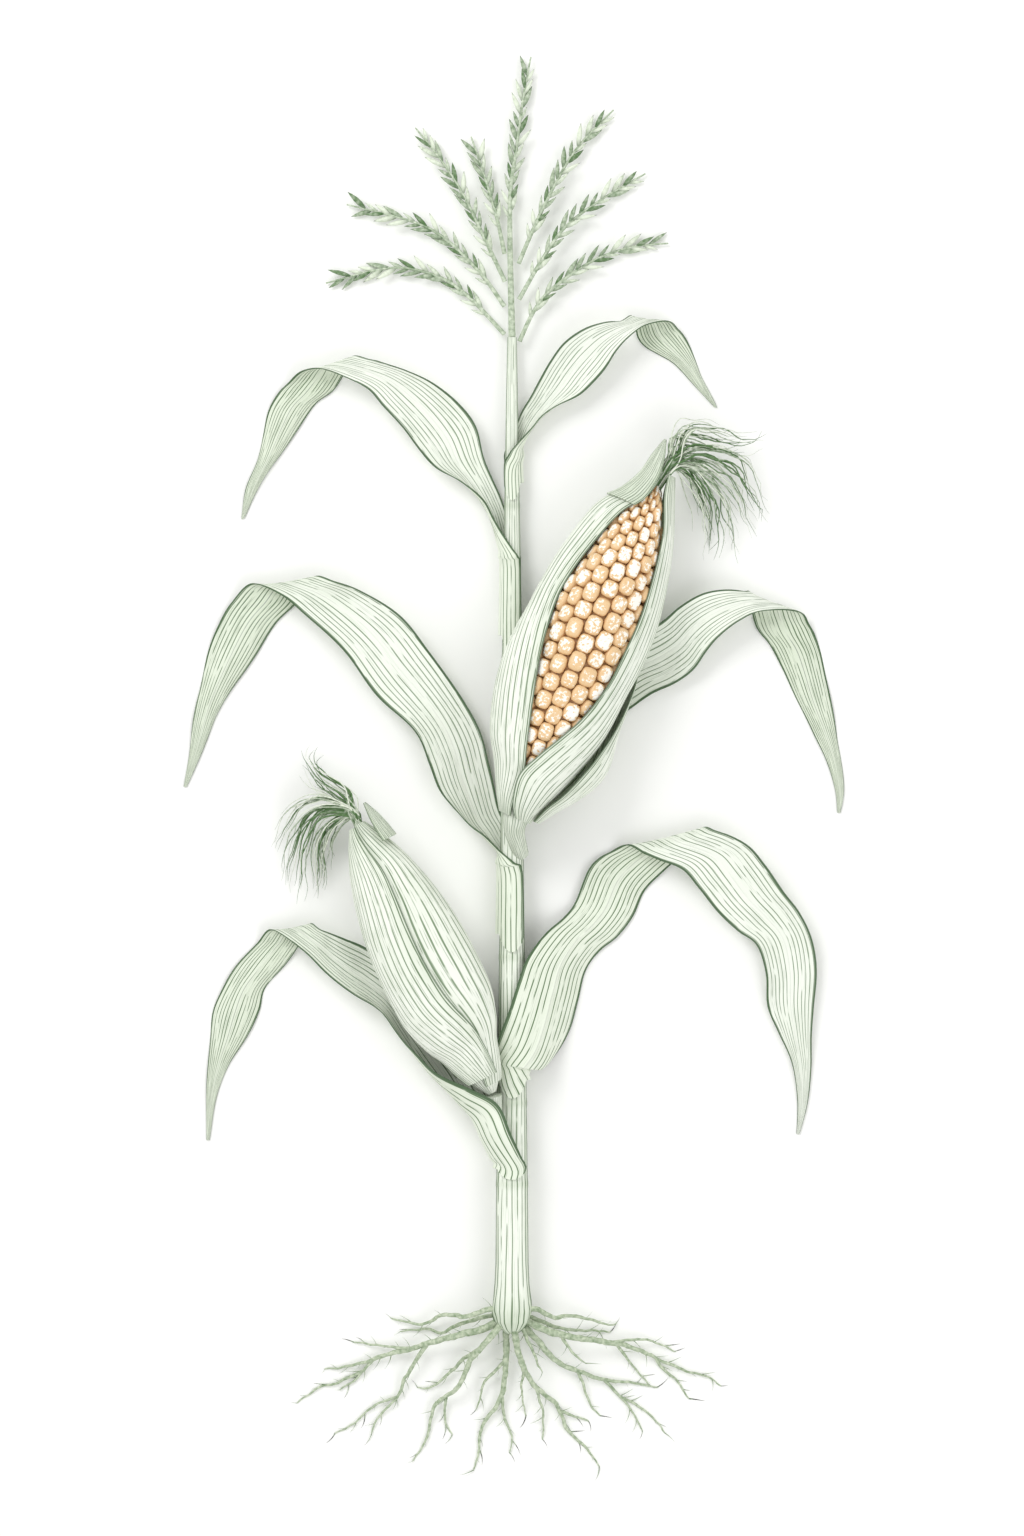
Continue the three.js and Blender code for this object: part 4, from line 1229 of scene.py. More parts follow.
LEAVES = (
    Leaf(
        "leaf_lower_left", Side.LEFT, 150, 129,
        wraps=((-8, 42, -48),),
        blade=(
            (-1, 26, 54, 6, 28, 5.5, 34), (-14, 55, 58, -4, 62, 4, 37), (-42, 71, 64, -22, 90, 6, 34),
            (-79, 88, 60, -48, 126, 6.5, 27), (-103, 112, 48, -80, 160, 4.5, 22),
            (-124, 140, 36, -112, 187, 5, 15), (-138, 150, 29, -146, 209, 9, 12),
            (-158, 162, 27, -168, 219, 18, 8), (-182, 182, 29, -182, 225, 24, 5),
            (-208, 207, 30, -192, 229, 28, 2), (-240, 227, 17, -203, 234, 17, 1),
            (-256, 214, 4, -212, 216, 5, 2), (-268, 202, 2, -222, 200, 2.5, 4),
            (-279, 188, 1.2, -231, 188, 1.5, 6), (-290, 168, 1, -248, 168, 1, 7),
            (-301, 145, 1, -254, 147, 1, 8), (-304, 120, 1, -266, 122, 1, 7),
            (-305, 90, 1, -285, 90, 1, 4), (-307, 55, 1, -298, 55, 1, 2), (-307, 16, 1, -304, 16, 1, 0),
        ),
        shade=(
            (0, 0.25), (0.1, 0.1), (0.25, 0.5), (0.42, 0.15),
            (0.5, 0.35), (0.56, 0.9), (0.7, 0.6), (1, 0.7),
        ),
    ),
    Leaf(
        "leaf_lower_right", Side.RIGHT, 250, 210,
        wraps=((-32, 30, -60), (-23, 28, -100), (-12, 26, -135)),
        blade=(
            (-18, 2, 27, 31, -10, 13, 23), (-12, 24, 39, 46, 6, 5, 16), (-3, 48, 39, 58, 28, 2, 10),
            (6, 76, 38, 66, 56, 1.5, 8), (15, 100, 35, 74, 86, 1.5, 7), (34, 125, 23, 88, 107, 1.5, 7),
            (52, 141, 12, 106, 122, 1.5, 7), (64, 156, 6, 122, 142, 1.5, 7), (77, 187, 5, 134, 167, 2, 6),
            (88, 200, 5, 152, 186, 3, 3), (102, 207, 6, 172, 205, 5, 1.5), (117, 212, 17, 190, 230, 17, 1),
            (132, 205, 29, 204, 227, 29, 1.5), (146, 199, 31, 220, 222, 31, 4),
            (170, 189, 30, 238, 211, 31, 7), (186, 170, 28, 254, 191, 29, 8),
            (204, 148, 25, 271, 167, 26, 9), (226, 128, 21, 288, 146, 22, 9),
            (245, 113, 17, 300, 120, 18, 8), (254, 83, 13, 305, 87, 13, 7), (257, 52, 9, 303, 49, 9, 6),
            (268, 25, 6.5, 301, 18, 6.5, 4.5), (281, -8, 4, 300, -14, 4, 2.5),
            (287, -45, 2, 297, -47, 2, 1), (286, -78, 1, 289, -78, 1, 0),
        ),
        shade=(
            (0, 0.2), (0.12, 0.2), (0.3, 0.25), (0.48, 0.45),
            (0.53, 0.15), (0.65, 0.1), (0.85, 0.25), (1, 0.35),
        ),
    ),
    Leaf(
        "leaf_middle_left", Side.LEFT, 457, 356,
        wraps=((-24, 42, -38), (-14, 78, -48), (0, 140, -70)),
        blade=(
            (-27, 15, 32, -6, 27, 5, 12), (-46, 29, 30, -14, 45, 6, 12), (-69, 56, 27, -22, 83, 10, 10),
            (-82, 87, 26, -31, 118, 15, 9), (-98, 119, 26, -48, 149, 20, 8),
            (-135, 156, 28, -82, 199, 26, 8), (-168, 199, 31, -112, 235, 30, 7),
            (-207, 237, 33, -152, 261, 32, 6), (-232, 257, 31, -178, 270, 33, 4),
            (-262, 266, 17, -200, 275, 17, 2), (-282, 249, 4, -216, 249, 4, 4),
            (-294, 227, 1.5, -236, 229, 2, 6), (-307, 195, 1.2, -256, 199, 1.2, 8),
            (-315, 158, 1.2, -280, 165, 1.2, 7), (-319, 133, 1.2, -295, 138, 1.2, 5),
            (-323, 105, 1.2, -307, 110, 1.2, 3), (-330, 64, 1, -327, 64, 1, 0),
        ),
        shade=(
            (0, 0.2), (0.12, 0.2), (0.3, 0.12), (0.5, 0.1),
            (0.62, 0.4), (0.68, 0.9), (0.8, 0.6), (1, 0.7),
        ),
    ),
    Leaf(
        "leaf_middle_right", Side.RIGHT, 535, 506,
        wraps=((-8, 38, -40), (0, 68, -50), (7, 115, -58), (12, 145, -62)),
        blade=(
            (22, 18, 19, 5, 24, 3.5, 9), (44, 21, 6, 22, 53, 4, 3.5), (76, 37, 4, 48, 87, 4, 3),
            (109, 58, 5, 76, 111, 4.5, 4), (139, 78, 9, 106, 131, 8, 6), (162, 89, 14, 130, 141, 13, 8),
            (180, 103, 20, 150, 152, 19, 8), (193, 121, 25, 168, 167, 24, 7),
            (207, 136, 29, 190, 179, 28, 5), (228, 152, 31, 212, 183, 30, 3),
            (250, 162, 28, 232, 182, 29, 1.5), (288, 163, 17, 237, 180, 18, 1),
            (299, 149, 5, 240, 165, 6, 2), (306, 135, 2, 246, 146, 2.5, 4), (312, 117, 1, 260, 129, 1, 7),
            (316, 93, 1, 272, 105, 1, 8), (320, 69, 1, 284, 77, 1, 7), (326, 41, 1, 301, 45, 1, 5),
            (331, 13, 1, 316, 14, 1, 3), (333, -17, 1, 325, -18, 1, 1.5), (330, -40, 1, 327, -40, 1, 0),
        ),
        shade=(
            (0, 0.2), (0.2, 0.35), (0.35, 0.15), (0.5, 0.1),
            (0.62, 0.4), (0.66, 0.9), (0.8, 0.6), (1, 0.7),
        ),
    ),
    Leaf(
        "leaf_upper_left", Side.LEFT, 759, 655,
        wraps=((-20, 40, -38), (-9, 58, -45), (0, 85, -60)),
        blade=(
            (-18, 29, 24, -6, 37, 5, 10), (-30, 49, 25, -12, 53, 7, 10), (-53, 69, 26, -19, 70, 11, 9),
            (-76, 83, 26, -28, 93, 15, 9), (-94, 101, 26, -36, 123, 20, 9),
            (-110, 121, 27, -54, 146, 24, 8), (-128, 142, 29, -80, 167, 28, 7),
            (-143, 160, 31, -105, 179, 31, 5), (-165, 171, 31, -128, 186, 32, 3),
            (-190, 179, 29, -142, 190, 31, 2), (-212, 177, 17, -160, 194, 18, 1),
            (-226, 167, 4, -168, 177, 6, 2), (-236, 155, 1.5, -180, 159, 2.5, 5),
            (-245, 138, 1, -197, 147, 1, 7), (-251, 115, 1, -213, 126, 1, 7),
            (-257, 87, 1, -232, 97, 1, 6), (-266, 62, 1, -248, 73, 1, 4), (-270, 44, 1, -260, 52, 1, 2),
            (-272, 31, 1, -269, 32, 1, 0),
        ),
        shade=(
            (0, 0.2), (0.25, 0.2), (0.4, 0.15), (0.58, 0.1),
            (0.66, 0.4), (0.72, 0.9), (0.85, 0.6), (1, 0.7),
        ),
    ),
    Leaf(
        "leaf_upper_right", Side.RIGHT, 862, 808,
        wraps=((-24, 35, -38), (-12, 70, -45), (0, 105, -60)),
        blade=(
            (20, 19, 21, 4, 22, 5, 7), (30, 30, 22, 10, 36, 6, 8), (46, 40, 22, 19, 50, 10, 8),
            (66, 51, 23, 28, 68, 15, 8), (80, 64, 25, 38, 86, 20, 7), (93, 78, 28, 52, 104, 25, 6),
            (105, 95, 30, 72, 117, 29, 4), (118, 109, 31, 92, 123, 31, 3),
            (134, 121, 28, 108, 125, 30, 1.5), (157, 127, 17, 120, 130, 18, 1),
            (167, 119, 5, 126, 110, 6, 2), (174, 110, 2, 134, 101, 2.5, 4), (181, 97, 1, 146, 95, 1, 6),
            (187, 83, 1, 160, 88, 1, 6), (191, 72, 1, 170, 79, 1, 5), (197, 58, 1, 184, 62, 1, 3),
            (206, 40, 1, 203, 41, 1, 0),
        ),
        shade=(
            (0, 0.2), (0.25, 0.2), (0.4, 0.12), (0.6, 0.1),
            (0.66, 0.4), (0.72, 0.9), (0.85, 0.6), (1, 0.7),
        ),
    ),
)


# ------------------------------------------------------------------ ears


@dataclass
class EarFrame:
    """An ear's own frame: s along its axis, q across it to the right and h up from it, in mm."""

    base_x: float
    base_y: float
    lean: float
    axis_height: Callable[[np.ndarray], np.ndarray]

    def spots(self, s: np.ndarray, q: np.ndarray, h: np.ndarray) -> np.ndarray:
        """Points of the ear's frame in the plant frame."""
        s, q, h = np.broadcast_arrays(np.asarray(s, float), q, h)
        turn = math.radians(self.lean)
        x = self.base_x + s * math.sin(turn) + q * math.cos(turn)
        y = self.base_y + s * math.cos(turn) - q * math.sin(turn)
        return np.stack([x, y, self.axis_height(s) + h], axis=-1)

    def husk(self, rows: Table, side: Side, columns: int, spacing: float = 4.0) -> np.ndarray:
        """The grid of a husk leaf.

        Args:
            rows: s, front margin q and h, back margin q and h, and bulge.
            side: the side that it grows to.
            columns: points in a row.
            spacing: distance between rows.

        Returns:
            Points in mm by row and column.
        """
        table = np.array(rows, float)
        fine = smooth_rows(table, steps(np.diff(table[:, 0]), spacing))
        a = self.spots(fine[:, 0], fine[:, 1], fine[:, 2])
        b = self.spots(fine[:, 0], fine[:, 3], fine[:, 4])
        along = self.spots(fine[:, 0] + 1, 0, 0) - self.spots(fine[:, 0], 0, 0)
        n = unit(np.cross(along, b - a)) * -side.value
        return arc_rows(a, b, n, fine[:, 5], columns)


@dataclass
class Silk:
    """The silk of one ear: threads that leave its neck together and spread as they fall."""

    name: str
    guides: Sequence[Table]
    threads: int = 10
    spread: float = 12.0
    curl: float = 11.0
    radius: float = 0.85
    shortest: float = 0.6
    points: int = 22

    def build(self, plot: Plot, material: bpy.types.Material) -> None:
        """Grows the silk.

        Args:
            plot: where the plant lies.
            material: its finish.
        """
        paths = [smooth_path(guide, 5.0) for guide in self.guides]
        radii = [np.full(len(path), self.radius) for path in paths]
        start = add_lines(f"{self.name}_guides", paths, radii, plot)
        tree = Growth(
            f"{self.name}_growth",
            {
                "Threads": self.threads,
                "Spread": self.spread * MM,
                "Curl": self.curl * MM,
                "Radius": self.radius * MM,
                "Ground": float(plot.corner[2] + 0.9 * MM),
                "Material": material,
            },
        )
        curves = tree.node("GeometryNodeResampleCurve", None, {"Curve": tree.curve(), "Count": 30})
        feeds = {0: curves, "Amount": tree.given("Threads")}
        copies = tree.node("GeometryNodeDuplicateElements", {"domain": "SPLINE"}, feeds)
        index = tree.node("GeometryNodeInputIndex")
        owner = tree.node("GeometryNodeFieldOnDomain", {"domain": "CURVE", "data_type": "INT"}, {0: index})
        share = tree.node("GeometryNodeSplineParameter")
        along = tree.random((-1.0, -1.0, -0.6), (1.0, 1.0, 0.6), 1, owner)
        fan = tree.scaled(along, tree.given("Spread") * (share * 0.8 + 0.3))
        phase = tree.random((-9.0, -9.0, -9.0), (9.0, 9.0, 9.0), 2, owner)
        place = tree.node("GeometryNodeInputPosition")
        read = tree.vector_math("ADD", tree.scaled(place, 34.0), phase)
        sway = tree.sway(read, 1.0, 1.0, tree.given("Curl") * 2.6 * share)
        offset = tree.vector_math("ADD", fan, sway)
        moved = tree.node("GeometryNodeSetPosition", None, {0: copies, "Offset": offset})
        shorter = tree.random(0.0, 1.0, 3, owner)
        feeds = {"Curve": moved, "End": 1.0 - shorter * shorter * (1.0 - self.shortest)}
        trimmed = tree.node("GeometryNodeTrimCurve", {"mode": "FACTOR"}, feeds)
        trimmed = tree.node("GeometryNodeResampleCurve", None, {"Curve": trimmed, "Count": self.points})
        lot = tree.random(0.0, 1.0, 4, owner)
        held = tree.numbered(tree.above_ground(trimmed), "lot", lot)
        held = tree.numbered(held, "share", share)
        thick = tree.given("Radius") * (lot * 0.5 + 0.8) * (1.08 - share**2.0)
        threads = tree.grow(start, tree.tube(held, 5, thick), f"{self.name}_threads")
        dress(threads, material, "silk", self.name)


HUSK_THICKNESS = 1.1
TIP_SHADE = 0.8


def add_husk(
    node: str, grid: np.ndarray, plot: Plot, material: bpy.types.Material, tone: np.ndarray | None = None,
    veins: int = 18, vein_depth: float = 0.16,
) -> None:
    """Makes one husk leaf.

    Args:
        node: the CAD node.
        grid: its points in mm by row and column.
        plot: where the plant lies.
        material: its finish.
        tone: how shaded each row is, or None for no shading.
        veins: ribs across it.
        vein_depth: how high they stand, in mm.
    """
    sheet = Sheet(grid, HUSK_THICKNESS, veins, vein_depth, facing=Facing.BULGE_OVER)
    dress(sheet.build(f"{node}_leaf", plot, tone), material, "husk", node)


UPPER_HUSKS: Mapping[str, tuple[Side, Table]] = {
    "husk_left": (
        Side.LEFT,
        (
            (-2, -4, 15, -13, -14, 7), (12, -7, 26.5, -21, -14, 10), (42, -9, 33, -38, -20, 15),
            (70, -18, 38, -52, -21, 21), (114, -31, 39, -62, -22, 24), (156, -42, 33, -58, -25, 26),
            (200, -48.5, 23, -42, -42, 28), (229, -49, 15, -40, -42, 27), (268, -42, 18, -34, -36, 28),
            (317, -27, 18, -21, -26, 29), (344, -9, 15, -9, -18, 23), (372, -4, 8, -5, -9, 11),
        ),
    ),
    "husk_right": (
        Side.RIGHT,
        (
            (-2, 1, 17, 13, -16, 9), (12, -8, 31, 13, -22, 18), (38, -13, 38.5, 17, -26, 29),
            (62, -4, 40, 22, -30, 30), (90, 10, 38.5, 26, -34, 29), (117, 22, 36, 30, -38, 25),
            (154, 31, 30, 33, -41, 21), (192, 33, 27, 34, -42, 22), (233, 33, 22, 32, -40, 20),
            (281, 27, 18, 24, -34, 17), (318, 19, 13, 15, -25, 14), (350, 6, 9, 5, -12, 12),
            (372, 1, 6, 1, -8, 7),
        ),
    ),
    "husk_outer": (
        Side.RIGHT,
        (
            (2, 20, 10, 15, -24, 7), (19, 26, 15, 20, -32, 13), (38, 36, 17, 26, -42, 19),
            (62, 44.5, 17, 34, -47, 24), (85, 51, 12, 37, -49, 22), (120, 57, -3, 38, -50, 12),
            (160, 57.5, -19, 37, -50, 8), (195, 51, -38, 44, -45, 1),
        ),
    ),
    "husk_tip": (
        Side.LEFT,
        (
            (330, -17, 21, -47, -7, 11), (342, -10, 19.5, -36, -6, 10), (363, -6.5, 15, -26, -5, 7),
            (385, -9, 10, -22, -3, 4), (403, -15, 3, -17, -1, 0.5),
        ),
    ),
}

LOWER_HUSKS: Mapping[str, tuple[int, Table]] = {
    "husk_right": (
        1,
        (
            (-0.01, -80, 100), (0.06, -80, 88), (0.13, -80, 80), (0.19, -80, 84), (0.28, -80, 94),
            (0.36, -80, 100), (0.48, -80, 104), (0.6, -80, 102), (0.71, -80, 98), (0.82, -80, 96),
            (0.91, -80, 110), (0.985, -80, 130),
        ),
    ),
    "husk_front": (
        0,
        (
            (0.02, 50, 150), (0.06, 55, 160), (0.13, 62, 175), (0.19, 70, 190), (0.28, 82, 200),
            (0.36, 88, 205), (0.48, 91, 208), (0.6, 90, 206), (0.71, 87, 202), (0.82, 86, 205),
            (0.91, 98, 215), (0.98, 115, 240),
        ),
    ),
    "husk_left": (
        0,
        (
            (0.06, 186, 265), (0.13, 196, 268), (0.19, 204, 269), (0.28, 214, 270), (0.36, 219, 271),
            (0.48, 222, 272), (0.6, 220, 271), (0.71, 216, 270), (0.82, 220, 268), (0.91, 234, 266),
        ),
    ),
}

LOWER_TIP = (
    (262, 15, 22, 28.5, -5, 6), (276, 13.5, 18, 26, -4, 4.5), (290, 13, 12, 22, -3, 3),
    (304, 14, 5, 16, 1, 0.5),
)

UPPER_SILK = (
    ((161, 846, 46), (173, 877, 50), (203, 876, 42), (231, 868, 28), (256, 873, 18)),
    ((161, 846, 46), (168, 868, 46), (198, 862, 38), (228, 858, 26), (243, 867, 16)),
    ((161, 845, 45), (191, 857, 46), (231, 844, 32), (244, 824, 18), (258, 790, 6)),
    ((161, 845, 45), (190, 848, 42), (222, 830, 30), (240, 800, 16), (250, 777, 6)),
    ((162, 844, 44), (185, 842, 38), (210, 822, 30), (226, 790, 16), (233, 757, 5)),
    ((162, 844, 44), (180, 838, 34), (198, 812, 28), (206, 785, 14), (205, 751, 5)),
    ((162, 843, 43), (176, 832, 30), (188, 806, 22), (194, 785, 12), (191, 760, 5)),
)

LOWER_SILK = (
    ((-158, 497, 50), (-189, 509, 42), (-214, 501, 28), (-223, 490, 18), (-246, 449, 5)),
    ((-158, 497, 50), (-192, 498, 38), (-212, 480, 26), (-222, 450, 12), (-228, 419, 5)),
    ((-160, 495, 49), (-188, 493, 36), (-203, 468, 26), (-208, 440, 13), (-209, 405, 5)),
    ((-160, 495, 49), (-184, 484, 32), (-194, 462, 22), (-193, 440, 12), (-195, 414, 5)),
    ((-161, 493, 48), (-179, 478, 28), (-186, 455, 18), (-185, 436, 10), (-187, 418, 5)),
    ((-158, 497, 50), (-162, 516, 40), (-188, 532, 26), (-198, 546, 14), (-192, 555, 6)),
    ((-158, 497, 50), (-178, 514, 38), (-199, 527, 24), (-212, 548, 8)),
)


@dataclass
class OpenEar:
    """The upper ear, whose husk leaves have opened over the kernels. Sizes in mm."""

    cob_length: float = 350.0
    cob_radius: float = 45.5
    shift: float = -6.0
    first_seat: float = 20.0
    kernel_rows: int = 16
    kernel_height: float = 8.5
    kernel_length: float = 19.5
    tip_kernel: float = 10.0
    crowding: float = 1.04
    profile: Table = (
        (0.0, 0.2), (0.02, 0.3), (0.06, 0.5), (0.17, 0.74), (0.31, 0.93), (0.45, 0.99), (0.57, 1.0),
        (0.69, 0.93), (0.81, 0.75), (0.91, 0.52), (0.985, 0.25), (1.01, 0.08),
    )
    frame: EarFrame = field(
        default_factory=lambda: EarFrame(3.0, 493.0, 24.1, lambda s: 66.5 - 0.046 * s)
    )

    def build(
        self, plot: Plot, husk: bpy.types.Material, kernels: bpy.types.Material, silk: bpy.types.Material
    ) -> None:
        """Makes the ear.

        Args:
            plot: where the plant lies.
            husk: finish of its husk leaves and shank.
            kernels: finish of its kernels.
            silk: finish of its silk.
        """
        self._add_kernels(plot, kernels)
        for name, (side, rows) in UPPER_HUSKS.items():
            grid = self.frame.husk(rows, side, 57)
            share = np.linspace(0, 1, len(grid))
            # Painted shade towards each husk leaf's foot and tip; the tip leaf is shaded all over.
            foot, tip = np.clip(0.9 - share / 0.12, 0, 1), np.clip((share - 0.86) / 0.14, 0, 1)
            tone = 0.5 * foot + TIP_SHADE * tip
            if name == "husk_tip":
                tone = np.full(len(grid), TIP_SHADE)
            add_husk(f"upper_ear_{name}", grid, plot, husk, tone)
        add_husk("upper_ear_husk_back", self.frame.husk(self._back_rows(), Side.RIGHT, 57), plot, husk)
        path = np.array([[9, 454, 23.5], [2.8, 476, 50.5], [4.0, 491, 63.5], [6.3, 500.3, 65.5]])
        add_shank("upper_ear_shank", path, 9.0, plot, husk, flare=5.0)
        guides = [((143, 818, 50), (153, 835, 49), *guide) for guide in UPPER_SILK]
        Silk("upper_ear_silk", guides).build(plot, silk)

    def _radius(self, s: np.ndarray) -> np.ndarray:
        """Radius over the kernels at a distance along the cob."""
        return self.cob_radius * smooth_profile(self.profile, np.asarray(s) / self.cob_length)

    def _back_rows(self) -> list[list[float]]:
        """The husk leaf under the cob, an arc close round it."""
        reach, rows = math.radians(50), []
        for share, swell in self.profile[2:-1]:
            radius = (self.cob_radius * swell + 0.4) * 1.02 + 1.1
            q, h = radius * math.sin(reach), -radius * math.cos(reach)
            rows.append([share * self.cob_length, self.shift + q, h, self.shift - q, h, radius + h])
        return rows

    def _seats(self) -> list[float]:
        """Distances along the cob where rings of kernels sit, closer together towards its ends."""
        seats, s = [], self.first_seat
        while s < self.cob_length - 4:
            swell = float(self._radius(s)) / self.cob_radius
            pitch = self.tip_kernel + (self.kernel_length - self.tip_kernel) * swell
            seats.append(s + pitch / 2)
            s += pitch
        return seats

    def _add_kernels(self, plot: Plot, material: bpy.types.Material) -> None:
        """Sets a kernel on each seat of the cob."""
        seats = np.array(self._seats())
        pitch = np.gradient(seats)
        turn = np.linspace(0, 2 * np.pi, self.kernel_rows, endpoint=False)
        stagger = np.where(np.arange(self.kernel_rows) % 2, 0.25, -0.25)
        s = seats[:, None] + pitch[:, None] * stagger[None, :]
        inner = np.maximum(self._radius(s) - self.kernel_height, 1.5)
        rings = self.frame.spots(s, self.shift + inner * np.cos(turn), inner * np.sin(turn))
        axis = self.frame.spots(s, self.shift + 0 * inner, 0 * inner)
        slope = (self._radius(s + 2) - self._radius(s - 2)) / 4
        lean = unit(self.frame.spots(seats + 1, 0, 0) - self.frame.spots(seats, 0, 0))[:, None, :]
        out = unit(unit(rings - axis) - lean * slope[:, :, None])
        size = np.stack(
            [
                2 * np.pi * (inner + 0.72 * self.kernel_height) / self.kernel_rows,
                np.broadcast_to(pitch[:, None], s.shape),
                np.minimum(self.kernel_height, self._radius(s) - 1.0),
            ],
            axis=2,
        )
        count = rings.shape[0] * rings.shape[1]
        numbers = {
            "seat": np.ones(count),
            "out": out.reshape(-1, 3),
            "lean": np.broadcast_to(lean, out.shape).reshape(-1, 3),
            "size": size.reshape(-1, 3) * MM,
        }
        extra = {key: np.concatenate([v, np.zeros((2, *v.shape[1:]))]) for key, v in numbers.items()}
        bed = add_loft("cob_bed", rings, plot, np.arange(len(rings), dtype=float))
        carry(bed.data, extra)
        kernel = kernel_shape()
        tree = Growth("kernels_growth", {"Kernel": kernel, "Crowding": self.crowding, "Material": material})
        points = tree.given("Geometry")
        turned = tree.aligned(tree.named("out", "FLOAT_VECTOR"), "Z")
        turned = tree.aligned(tree.named("lean", "FLOAT_VECTOR"), "Y", turned, "Z")
        uneven = tree.random((0.93, 0.88, 0.86), (1.03, 1.06, 1.12), 5)
        size = tree.vector_math("MULTIPLY", tree.named("size", "FLOAT_VECTOR"), uneven)
        size = tree.scaled(size, tree.given("Crowding"))
        turned = tree.turned(turned, tree.random((-0.06, -0.06, -0.10), (0.06, 0.06, 0.10), 6))
        set_out = tree.set_out(points, tree.shape("Kernel"), turned, size, Selection=tree.named("seat"))
        set_out = tree.numbered(set_out, "lot", tree.random(0.0, 1.0, 7), "INSTANCE")
        piece = tree.grow(bed, tree.joined(points, set_out), "upper_ear_kernels")
        bpy.data.objects.remove(kernel)
        dress(piece, material, "kernels", "upper_ear_cob")


def kernel_shape() -> bpy.types.Object:
    """One kernel: a rounded block with a full crown that dips in its middle.

    Returns:
        An object one unit wide, long and high, standing on the origin.
    """
    levels = np.array(((0.0, 0.84), (0.4, 0.97), (0.72, 0.96), (0.92, 0.76), (1.0, 0.42)))
    turn = np.linspace(0, 2 * np.pi, 12, endpoint=False)
    ring = np.stack([np.cos(turn), np.sin(turn)], axis=1)
    square = np.sign(ring) * np.abs(ring) ** 0.62
    rings = np.zeros((len(levels), len(turn), 3))
    rings[:, :, :2] = square[None] * levels[:, 1, None, None] / 2
    rings[:, :, 2] = levels[:, :1]
    return add_bud("kernel_shape", rings, 0.965, "height")


def add_shank(
    name: str, path: np.ndarray, radius: float, plot: Plot, material: bpy.types.Material, flare: float = 0.0
) -> None:
    """The short ribbed stem that carries an ear.

    Args:
        name: the CAD node.
        path: points along its middle, in mm.
        radius: its radius, in mm.
        plot: where the plant lies.
        material: its finish.
        flare: how much wider it ends, where the ear's husk leaves grow from it.
    """
    line = smooth_path(path, 1.6)
    along = unit(np.gradient(line, axis=0))
    across = unit(np.stack([along[:, 1], -along[:, 0], np.zeros(len(along))], axis=1))
    up = np.cross(across, along)
    turn = np.linspace(0, 2 * np.pi, 48, endpoint=False)
    share = np.linspace(0, 1, len(line))[:, None]
    swell = radius + 0.25 * np.cos(12 * turn)[None, :] + 3.0 * (share - 0.5) + flare * share**3
    rings = (
        line[:, None, :]
        + across[:, None, :] * (swell * np.cos(turn))[:, :, None]
        + up[:, None, :] * (swell * np.sin(turn))[:, :, None]
    )
    tone = np.full(len(line), 0.35)
    shank = add_loft(f"{name}_stem", rings, plot, lengths(line), {"tone": tone, "under": tone * 0})
    dress(shank, material, "husk", name)


